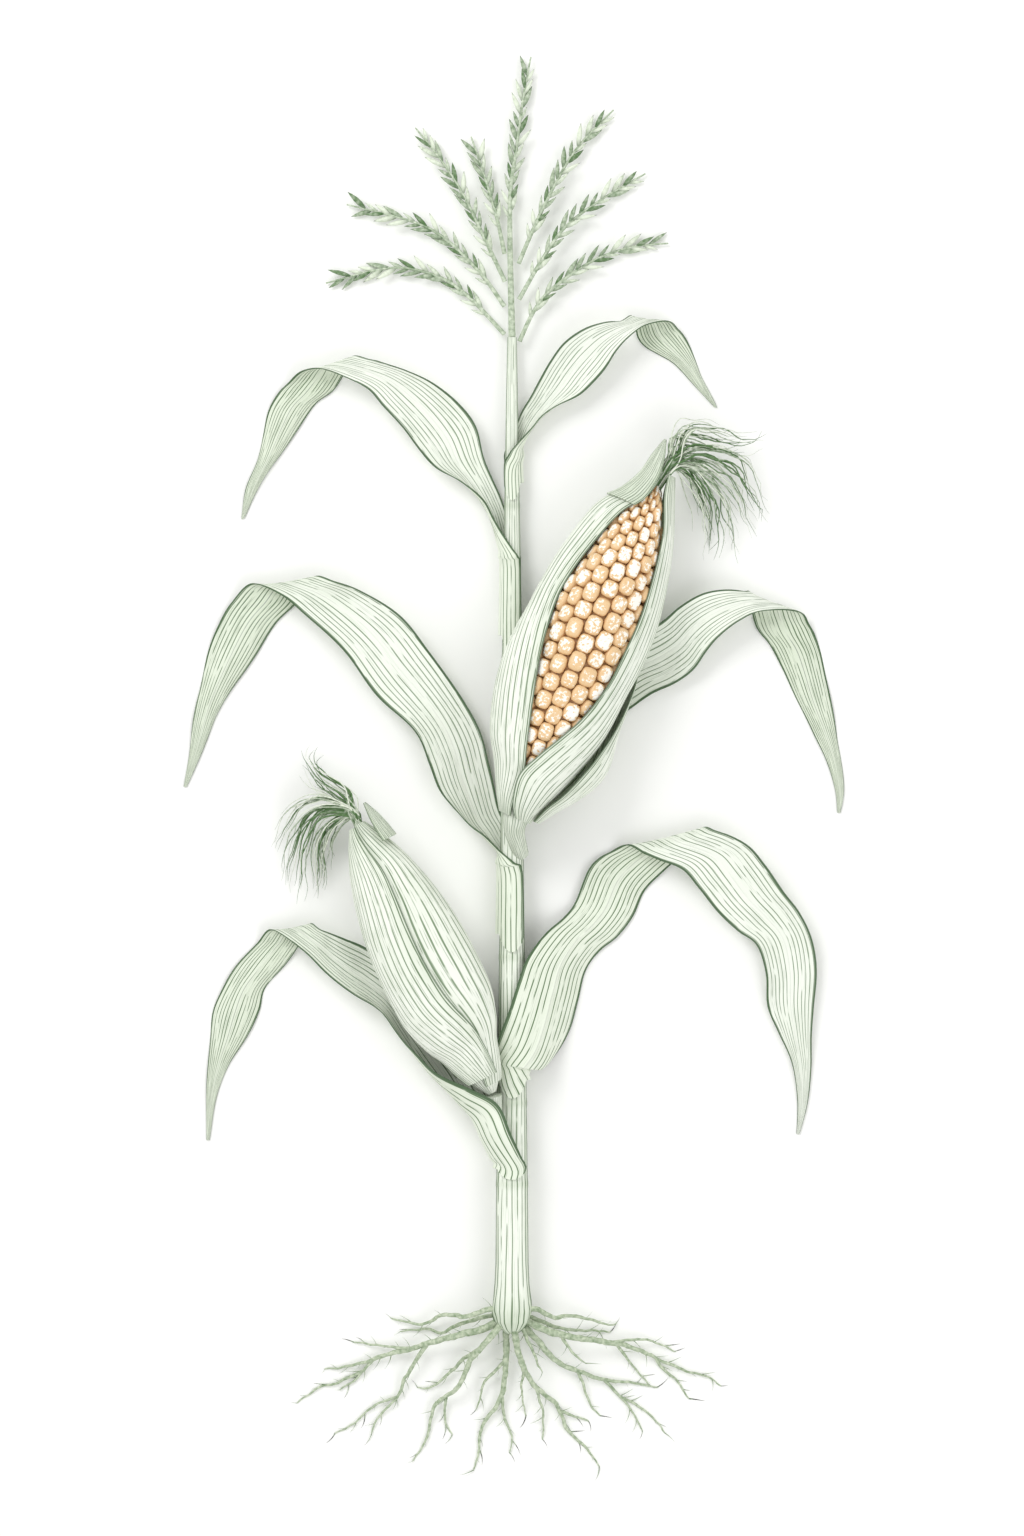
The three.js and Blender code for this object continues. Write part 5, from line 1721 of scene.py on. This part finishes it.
@dataclass
class ClosedEar:
    """The lower ear, closed in its husk leaves. Sizes in mm."""

    length: float = 292.0
    squash: float = 0.9
    layer: float = 2.6
    profile: Table = (
        (-0.04, 10), (0, 19), (0.06, 26), (0.13, 32.5), (0.19, 41), (0.28, 49), (0.36, 51), (0.48, 51),
        (0.6, 48), (0.71, 42), (0.82, 33), (0.91, 22), (0.97, 12.5), (1, 7),
    )
    frame: EarFrame = field(
        default_factory=lambda: EarFrame(
            -24.8, 226.6, -26.5,
            lambda s: 51.5 + 0.02 * np.minimum(s, 100) - 0.0004 * np.maximum(0, 40 - s) ** 2,
        )
    )

    def build(self, plot: Plot, husk: bpy.types.Material, silk: bpy.types.Material) -> None:
        """Makes the ear.

        Args:
            plot: where the plant lies.
            husk: finish of its husk leaves and shank.
            silk: finish of its silk.
        """
        turn = np.linspace(0, 2 * np.pi, 120, endpoint=False)
        share = np.linspace(-0.04, 1.0, 110)
        radius = self._radius(share)[:, None] - 2 * self.layer - 0.8 + 0.25 * np.cos(30 * turn)[None, :]
        rings = self._around(share[:, None], radius, turn[None, :])
        # Painted shade towards the tip, as on the husk leaves.
        tone = np.clip((share - 0.8) / 0.2, 0, 1)
        numbers = {"tone": tone, "under": tone * 0}
        body = add_loft("lower_ear_inner_husks", rings, plot, share * self.length, numbers)
        dress(body, husk, "husk", "lower_ear_body")
        for name, (layer, rows) in LOWER_HUSKS.items():
            grid = self._wrapped(layer, rows, 73)
            along = np.linspace(0, 1, len(grid))
            shade = np.clip((along - 0.84) / 0.16, 0, 1) * 0.7 + np.clip(0.1 - along, 0, 1) * 4.0
            add_husk(f"lower_ear_{name}", grid, plot, husk, shade, veins=20)
        grid = self.frame.husk(LOWER_TIP, Side.RIGHT, 33, 2.0)
        add_husk("lower_ear_husk_tip", grid, plot, husk, np.full(len(grid), TIP_SHADE), 8, 0.12)
        path = np.array([[-6, 166, 31.6], [-15, 186, 43], self.frame.spots(-0.05 * self.length, 0, 0)])
        add_shank("lower_ear_shank", path, 6.6, plot, husk)
        guides = [((-147, 470, 50), (-153, 485, 50), *guide) for guide in LOWER_SILK]
        Silk("lower_ear_silk", guides, threads=10, spread=8.0, curl=7.0).build(plot, silk)

    def _radius(self, share: np.ndarray) -> np.ndarray:
        """Outer radius at a share of the ear's length."""
        return smooth_profile(self.profile, share)

    def _around(self, share: np.ndarray, radius: np.ndarray, turn: np.ndarray) -> np.ndarray:
        """Points at a share of the length, a radius and a turn about the axis."""
        up = radius * self.squash * np.sin(turn)
        return self.frame.spots(share * self.length, radius * np.cos(turn), up)

    def _wrapped(self, layer: int, rows: Table, columns: int) -> np.ndarray:
        """The grid of a husk leaf that lies on the ear, `layer` leaves below the outermost."""
        table = np.array(rows, float)
        fine = smooth_rows(table, steps(np.diff(table[:, 0]) * self.length, 3.5))
        front, back = fine[:, 1:2], fine[:, 2:3]
        turn = np.radians(front + (back - front) * np.linspace(0, 1, columns)[None, :])
        radius = self._radius(fine[:, 0])[:, None] - (layer * self.layer + 1.0)
        return self._around(fine[:, :1], radius, turn)[:, ::-1]


# ------------------------------------------------------------------ tassel


@dataclass
class Tassel:
    """The tassel: a spike and its branches, with spikelets left and right of each stem. Sizes in mm."""

    foot: float = 972.0
    spike: Table = ((0, 0.4, 12), (-2, 133, 10), (5, 194, 9), (12, 245, 8), (19, 282, 7))
    spike_radius: float = 3.6
    branch_radius: float = 2.3
    tip_radius: float = 0.8
    bare_spike: float = 118.0
    bare_branch: float = 26.0
    pitch: float = 6.4
    spikelet: float = 22.0
    lean: Span = (0.28, 0.62)
    rise: Span = (-0.10, 0.30)
    growth: Span = (0.72, 1.18)
    branches: Sequence[Table] = (
        ((-7.5, 3, 12), (-46, 43, 12), (-79, 63, 9), (-123, 70, 6), (-187, 55, 4)),
        ((-7.5, 31, 12), (-33, 66, 14), (-69, 100, 14), (-102, 117, 10), (-166, 134, 4)),
        ((-7, 56, 11), (-28, 100, 15), (-49, 143, 15), (-72, 179, 10), (-97, 211, 4)),
        ((-7.5, 84, 10), (-16, 123, 10), (-28, 163, 8), (-41, 202, 5)),
        ((6.5, 74, 10), (23, 112, 13), (43, 153, 13), (66, 191, 9), (102, 229, 4)),
        ((7, 38, 11), (28, 74, 16), (53, 110, 14), (89, 138, 9), (134, 165, 4)),
        ((7.5, -4, 12), (23, 28, 12), (43, 51, 12), (81, 77, 8), (120, 91, 6), (157, 95, 4)),
    )

    def build(self, plot: Plot, material: bpy.types.Material) -> None:
        """Grows the spike and the branches.

        Args:
            plot: where the plant lies.
            material: their finish.
        """
        self._stem("tassel_spike", self.spike, self.spike_radius, self.bare_spike, plot, material)
        for i, branch in enumerate(self.branches, 1):
            self._stem(f"tassel_branch_{i}", branch, self.branch_radius, self.bare_branch, plot, material)

    def _stem(
        self, node: str, points: Table, radius: float, bare: float, plot: Plot, material: bpy.types.Material
    ) -> None:
        """Grows one stem with its spikelets."""
        path = smooth_path([(x, self.foot + y, z) for x, y, z in points], 4.0)
        thick = np.linspace(radius, self.tip_radius, len(path))
        start = add_lines(f"{node}_line", [path], [thick], plot)
        shape = spikelet_shape()
        tree = Growth(
            f"{node}_growth",
            {
                "Spikelet": shape,
                "Bare": bare * MM,
                "Pitch": self.pitch * MM,
                "Length": self.spikelet * MM,
                "Ground": float(plot.corner[2] + 0.3 * MM),
                "Material": material,
            },
        )
        curve = tree.curve()
        stem = tree.numbered(tree.numbered(curve, "lot", 0.6), "share", 0.5)
        stem = tree.tube(stem, 10, tree.named("thickness"))
        reach = tree.node("GeometryNodeCurveLength", None, {0: curve}) - tree.given("Length") * 0.9
        feeds = {"Curve": curve, 4: tree.given("Bare"), 5: reach}
        row = tree.node("GeometryNodeTrimCurve", {"mode": "LENGTH"}, feeds)
        spots, tangent = tree.spots(row)
        side = tree.node("GeometryNodeInputIndex").modulo(2.0) * 2.0 - 1.0
        ahead = tree.leaning(tangent, 1.0, side * tree.random(*self.lean, 1), tree.random(*self.rise, 2))
        roll = tree.vector(0.0, 0.0, tree.random(0.0, 6.28, 3))
        size = tree.random(*self.growth, 4) * tree.given("Length")
        rotation = tree.turned(tree.aligned(ahead, "Z"), roll)
        set_out = tree.set_out(spots, tree.shape("Spikelet"), rotation, tree.vector(size, size, size))
        set_out = tree.numbered(set_out, "lot", tree.random(0.0, 1.0, 5), "INSTANCE")
        held = tree.joined(stem, tree.node("GeometryNodeRealizeInstances", None, {0: set_out}))
        held = tree.above_ground(held)
        piece = tree.grow(start, held, f"{node}_spikelets")
        bpy.data.objects.remove(shape)
        dress(piece, material, "tassel", node)


def spikelet_shape() -> bpy.types.Object:
    """One spikelet: a pointed husk, flattened a little, with a keel down its back.

    Returns:
        An object one unit long that stands on the origin.
    """
    levels = np.array(((0.0, 0.02), (0.1, 0.065), (0.3, 0.108), (0.55, 0.112), (0.8, 0.065)))
    turn = 2 * np.pi * np.arange(6) / 6
    keel = np.where(np.arange(6) == 1, 1.18, 1.0)
    rings = np.zeros((len(levels), len(turn), 3))
    rings[:, :, 0] = levels[:, 1:] * keel * np.cos(turn)
    rings[:, :, 1] = 0.8 * levels[:, 1:] * keel * np.sin(turn)
    rings[:, :, 2] = levels[:, :1]
    return add_bud("spikelet_shape", rings, 1.0, "share")


# ------------------------------------------------------------------ roots


ROOT_BUNDLES: Sequence[Sequence[tuple[float, Table]]] = (
    (
        (3.2, ((-8, -3, 30), (-24, -1, 31), (-44, -9, 25), (-68, -8, 16), (-91, -18, 7), (-122, -13, 1.2))),
    ),
    (
        (2.6, ((-8, -8, 18), (-27, -10, 17), (-56, -19, 10), (-71, -28, 6), (-85, -24, 3),
            (-112, -26, 1.2))),
    ),
    (
        (4.2, ((-8, -10, 26), (-30, -22, 24), (-68, -32, 17), (-106, -44, 10), (-138, -53, 5),
            (-156, -73, 2.5), (-173, -85, 1))),
        (2, ((-128, -50, 6.5), (-160, -60, 4), (-188, -64, 1))),
        (1.7, ((-102, -42, 11), (-130, -41, 6), (-159, -37, 1))),
        (1.7, ((-150, -66, 3.3), (-175, -77, 2.2), (-194, -82, 1.4), (-216, -98, 1))),
        (2.4, ((-84, -36, 14), (-106, -69, 8), (-115, -92, 4), (-135, -113, 2), (-141, -129, 1))),
        (1.4, ((-116, -92, 3.6), (-138, -100, 2.2), (-156, -116, 1.5), (-177, -129, 1))),
    ),
    (
        (3.6, ((-6, -12, 30), (-21, -28, 33), (-41, -54, 22), (-56, -83, 12), (-77, -101, 6),
            (-87, -136, 2), (-100, -157, 1))),
        (1.6, ((-66, -92, 9), (-67, -115, 3.5), (-60, -130, 1))),
    ),
    (
        (3, ((-8, -14, 18), (-27, -36, 15), (-56, -61, 7), (-79, -81, 3), (-95, -83, 1.2))),
    ),
    (
        (3.8, ((-3, -10, 22), (-6, -24, 20), (-6, -60, 12), (-12, -95, 6), (-30, -122, 3), (-34, -148, 2),
            (-39, -166, 1))),
        (1.8, ((-10, -88, 7), (-7, -113, 4), (0, -136, 2), (-3, -148, 1))),
        (2, ((-6, -54, 13.5), (-27, -76, 8), (-31, -92, 4), (-35, -104, 1))),
    ),
    (
        (3.8, ((4, -10, 30), (3, -25, 32), (11, -60, 20), (26, -83, 12), (44, -98, 7), (55, -124, 3),
            (76, -145, 2), (88, -161, 1))),
        (1.6, ((49, -106, 5.5), (66, -112, 2.5), (77, -117, 1))),
        (1.7, ((23, -78, 14), (31, -108, 6), (31, -135, 1))),
        (1.5, ((12, -62, 19), (10, -88, 9), (14, -110, 1))),
    ),
    (
        (3, ((8, -2, 30), (24, -1, 31), (41, -9, 25), (64, -9, 17), (97, -19, 6), (105, -17, 1.5))),
    ),
    (
        (2.6, ((8, -6, 20), (32, -16, 16), (61, -24, 9), (99, -26, 1.2))),
    ),
    (
        (4.2, ((8, -10, 26), (41, -25, 24), (76, -32, 19), (111, -39, 12), (141, -50, 6), (152, -64, 4),
            (167, -78, 2), (178, -94, 1))),
        (1.7, ((144, -53, 5.6), (176, -66, 3), (192, -70, 1.6), (210, -80, 1))),
        (1.7, ((98, -36, 15), (135, -34, 7), (163, -47, 1))),
        (1.7, ((104, -37, 13.5), (123, -63, 5), (138, -79, 1))),
        (2, ((48, -26, 23), (61, -46, 18), (74, -57, 15))),
    ),
    (
        (3.6, ((6, -12, 20), (26, -34, 17), (47, -57, 11), (76, -69, 7), (97, -75, 4), (146, -82, 1))),
        (1.8, ((66, -65, 8.5), (78, -98, 3), (89, -111, 1))),
        (1.8, ((92, -74, 5), (115, -98, 3), (131, -125, 1))),
        (1.5, ((108, -91, 3.2), (135, -107, 1.8), (154, -128, 1))),
    ),
    (
        (2.4, ((8, -14, 26), (17, -36, 25), (24, -52, 20), (30, -66, 16))),
    ),
)


@dataclass
class Roots:
    """The bare roots: main roots with side roots, and fine rootlets along them all. Sizes in mm."""

    tip_radius: float = 0.55
    wiggle: float = 2.2
    rootlet: float = 15.0
    rootlet_pitch: float = 11.0
    rootlet_lean: float = 1.3
    rootlet_rise: Span = (-0.35, 0.1)
    rootlet_growth: Span = (0.35, 1.15)
    rootlet_radius: float = 0.034

    def build(self, plot: Plot, material: bpy.types.Material) -> None:
        """Grows every root.

        Args:
            plot: where the plant lies.
            material: their finish.
        """
        for i, bundle in enumerate(ROOT_BUNDLES, 1):
            self._root(f"root_{i:02d}", i, bundle, plot, material)

    def _root(
        self,
        node: str,
        number: int,
        bundle: Sequence[tuple[float, Table]],
        plot: Plot,
        material: bpy.types.Material,
    ) -> None:
        """Grows one main root with its side roots and rootlets."""
        paths, radii = [], []
        for radius, points in bundle:
            path = smooth_path(points, 3.0)
            paths.append(path)
            taper = (1 - np.linspace(0, 1, len(path))) ** 0.8
            radii.append(self.tip_radius + (radius - self.tip_radius) * taper)
        start = add_lines(f"{node}_line", paths, radii, plot)
        tree = Growth(
            f"{node}_growth",
            {
                "Wiggle": self.wiggle * MM,
                "Rootlet": self.rootlet * MM,
                "Pitch": self.rootlet_pitch * MM,
                "Ground": float(plot.corner[2] + 0.5 * MM),
                "Material": material,
            },
        )
        share = tree.node("GeometryNodeSplineParameter")
        place = tree.node("GeometryNodeInputPosition")
        sway = tree.sway(place, 75.0, 2.0, tree.given("Wiggle") * 2.4 * share.ease(0.0, 0.3))
        curve = tree.node("GeometryNodeSetPosition", None, {0: tree.curve(), "Offset": sway})
        knots = tree.noise(place, 160.0, 2.0) * 0.7 + 0.65
        main = tree.numbered(tree.numbered(curve, "share", share * 0.6 + 0.12), "lot", 0.4)
        main = tree.tube(tree.above_ground(main), 9, tree.named("thickness") * knots)
        spots, tangent = tree.spots(curve)
        bend = {"Start": (0.0, 0.0, 0.0), "Middle": (0.12, 0.0, 0.5), "End": (-0.1, 0.0, 1.0)}
        hair = tree.node("GeometryNodeCurveQuadraticBezier", None, {"Resolution": 8, **bend})
        hair = tree.numbered(tree.numbered(hair, "share", share), "lot", 0.5)
        hair = tree.tube(hair, 4, (1.06 - share) * self.rootlet_radius)
        sideways = tree.random(-1.0, 1.0, 10 + number) * self.rootlet_lean
        ahead = tree.leaning(tangent, 0.75, sideways, tree.random(*self.rootlet_rise, 20 + number))
        size = tree.given("Rootlet") * tree.random(*self.rootlet_growth, 30 + number)
        hairs = tree.set_out(spots, hair, tree.aligned(ahead, "Z"), tree.vector(size, size, size))
        hairs = tree.above_ground(tree.node("GeometryNodeRealizeInstances", None, {0: hairs}))
        piece = tree.grow(start, tree.joined(main, hairs), f"{node}_fibres")
        dress(piece, material, "roots", node)


# ------------------------------------------------------------------ studio


@dataclass
class Studio:
    """A pale floor, soft light and a camera that looks straight down. Sizes in metres.

    window and fill: a lamp's place, its size and its power in watts.
    """

    frame_height: float = 1.536
    middle_y: float = 0.540
    subject_height: float = 0.030
    lens: float = 135.0
    sensor: float = 36.0
    floor_size: float = 9.0
    sky: float = 0.8
    window: tuple[Sequence[float], float, float] = ((-1.9, 2.2, 3.0), 1.8, 62.0)
    fill: tuple[Sequence[float], float, float] = ((2.2, -1.8, 3.0), 2.4, 34.0)

    def build(self, plot: Plot) -> None:
        """Sets up the floor, the lights and the camera.

        Args:
            plot: where the plant lies.
        """
        ground = float(plot.corner[2])
        self._floor(ground)
        distance = self.frame_height / 2 / (self.sensor / 2 / self.lens)
        aim = (float(plot.corner[0]), float(plot.corner[1]) + self.middle_y, ground + self.subject_height)
        data = bpy.data.cameras.new("overhead")
        data.lens, data.sensor_width, data.clip_end = self.lens, self.sensor, 50.0
        camera = add_object("overhead", data)
        camera.location = (aim[0], aim[1], aim[2] + distance)
        bpy.context.scene.camera = camera
        self._lamp("window", aim, *self.window)
        self._lamp("fill", aim, *self.fill)
        world = bpy.data.worlds.new("soft_room")
        world.use_nodes = True
        sky = world.node_tree.nodes["Background"]
        sky.inputs["Color"].default_value = (1.0, 1.0, 1.0, 1.0)
        sky.inputs["Strength"].default_value = self.sky
        bpy.context.scene.world = world
        bpy.context.scene.view_settings.view_transform = "Standard"

    def _floor(self, ground: float) -> None:
        """Lays the pale floor."""
        reach = self.floor_size / 2
        corners = [(x * reach, y * reach, ground) for x, y in ((-1, -1), (1, -1), (1, 1), (-1, 1))]
        mesh = bpy.data.meshes.new("pale_floor")
        mesh.from_pydata(corners, [], [(0, 1, 2, 3)])
        floor = add_object("pale_floor", mesh)
        dye = Dye("pale_floor")
        cloth = dye.noise(dye.place(), 5.0, 2.0)
        colour = dye.mix(cloth * 0.15, FLOOR_WHITE, ink(244, 245, 242))
        mesh.materials.append(dye.finish(colour, 0.9, None, 0.0, Specular_IOR_Level=0.1))

    @staticmethod
    def _lamp(name: str, aim: Sequence[float], place: Sequence[float], size: float, power: float) -> None:
        """Hangs a square soft light that points at the plant."""
        data = bpy.data.lights.new(name, "AREA")
        data.size, data.energy = size, power
        lamp = add_object(name, data)
        lamp.location = place
        sight = np.array(aim) - np.array(place)
        flat = math.hypot(sight[0], sight[1])
        lamp.rotation_euler = (math.atan2(flat, -sight[2]), 0.0, math.atan2(-sight[0], sight[1]))


def main() -> None:
    """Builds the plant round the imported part."""
    logging.basicConfig(level=logging.INFO, format="%(name)s: %(message)s")
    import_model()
    stalk = Stalk()
    plot = Plot.from_stalk(stalk.crown_depth, stalk.lowest)
    leaf = BladeFinish().material()
    husk = HuskFinish().material()
    stem = StemFinish().material()
    kernels = KernelFinish().material()
    silk = StrandFinish("corn_silk", PALE_SILK, foot=0.08).material()
    spikelets = StrandFinish("corn_spikelets", PALE_TASSEL, roughness=0.65, variety=0.55, foot=0.45).material()
    rootlets = StrandFinish("corn_roots", PALE_ROOT, roughness=0.75, variety=0.85, foot=0.2).material()
    stalk.build(plot, stem)
    for each in LEAVES:
        each.build(stalk, plot, leaf)
    OpenEar().build(plot, husk, kernels, silk)
    ClosedEar().build(plot, husk, silk)
    Tassel().build(plot, spikelets)
    Roots().build(plot, rootlets)
    Studio().build(plot)
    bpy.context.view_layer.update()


if __name__ == "__main__":
    main()
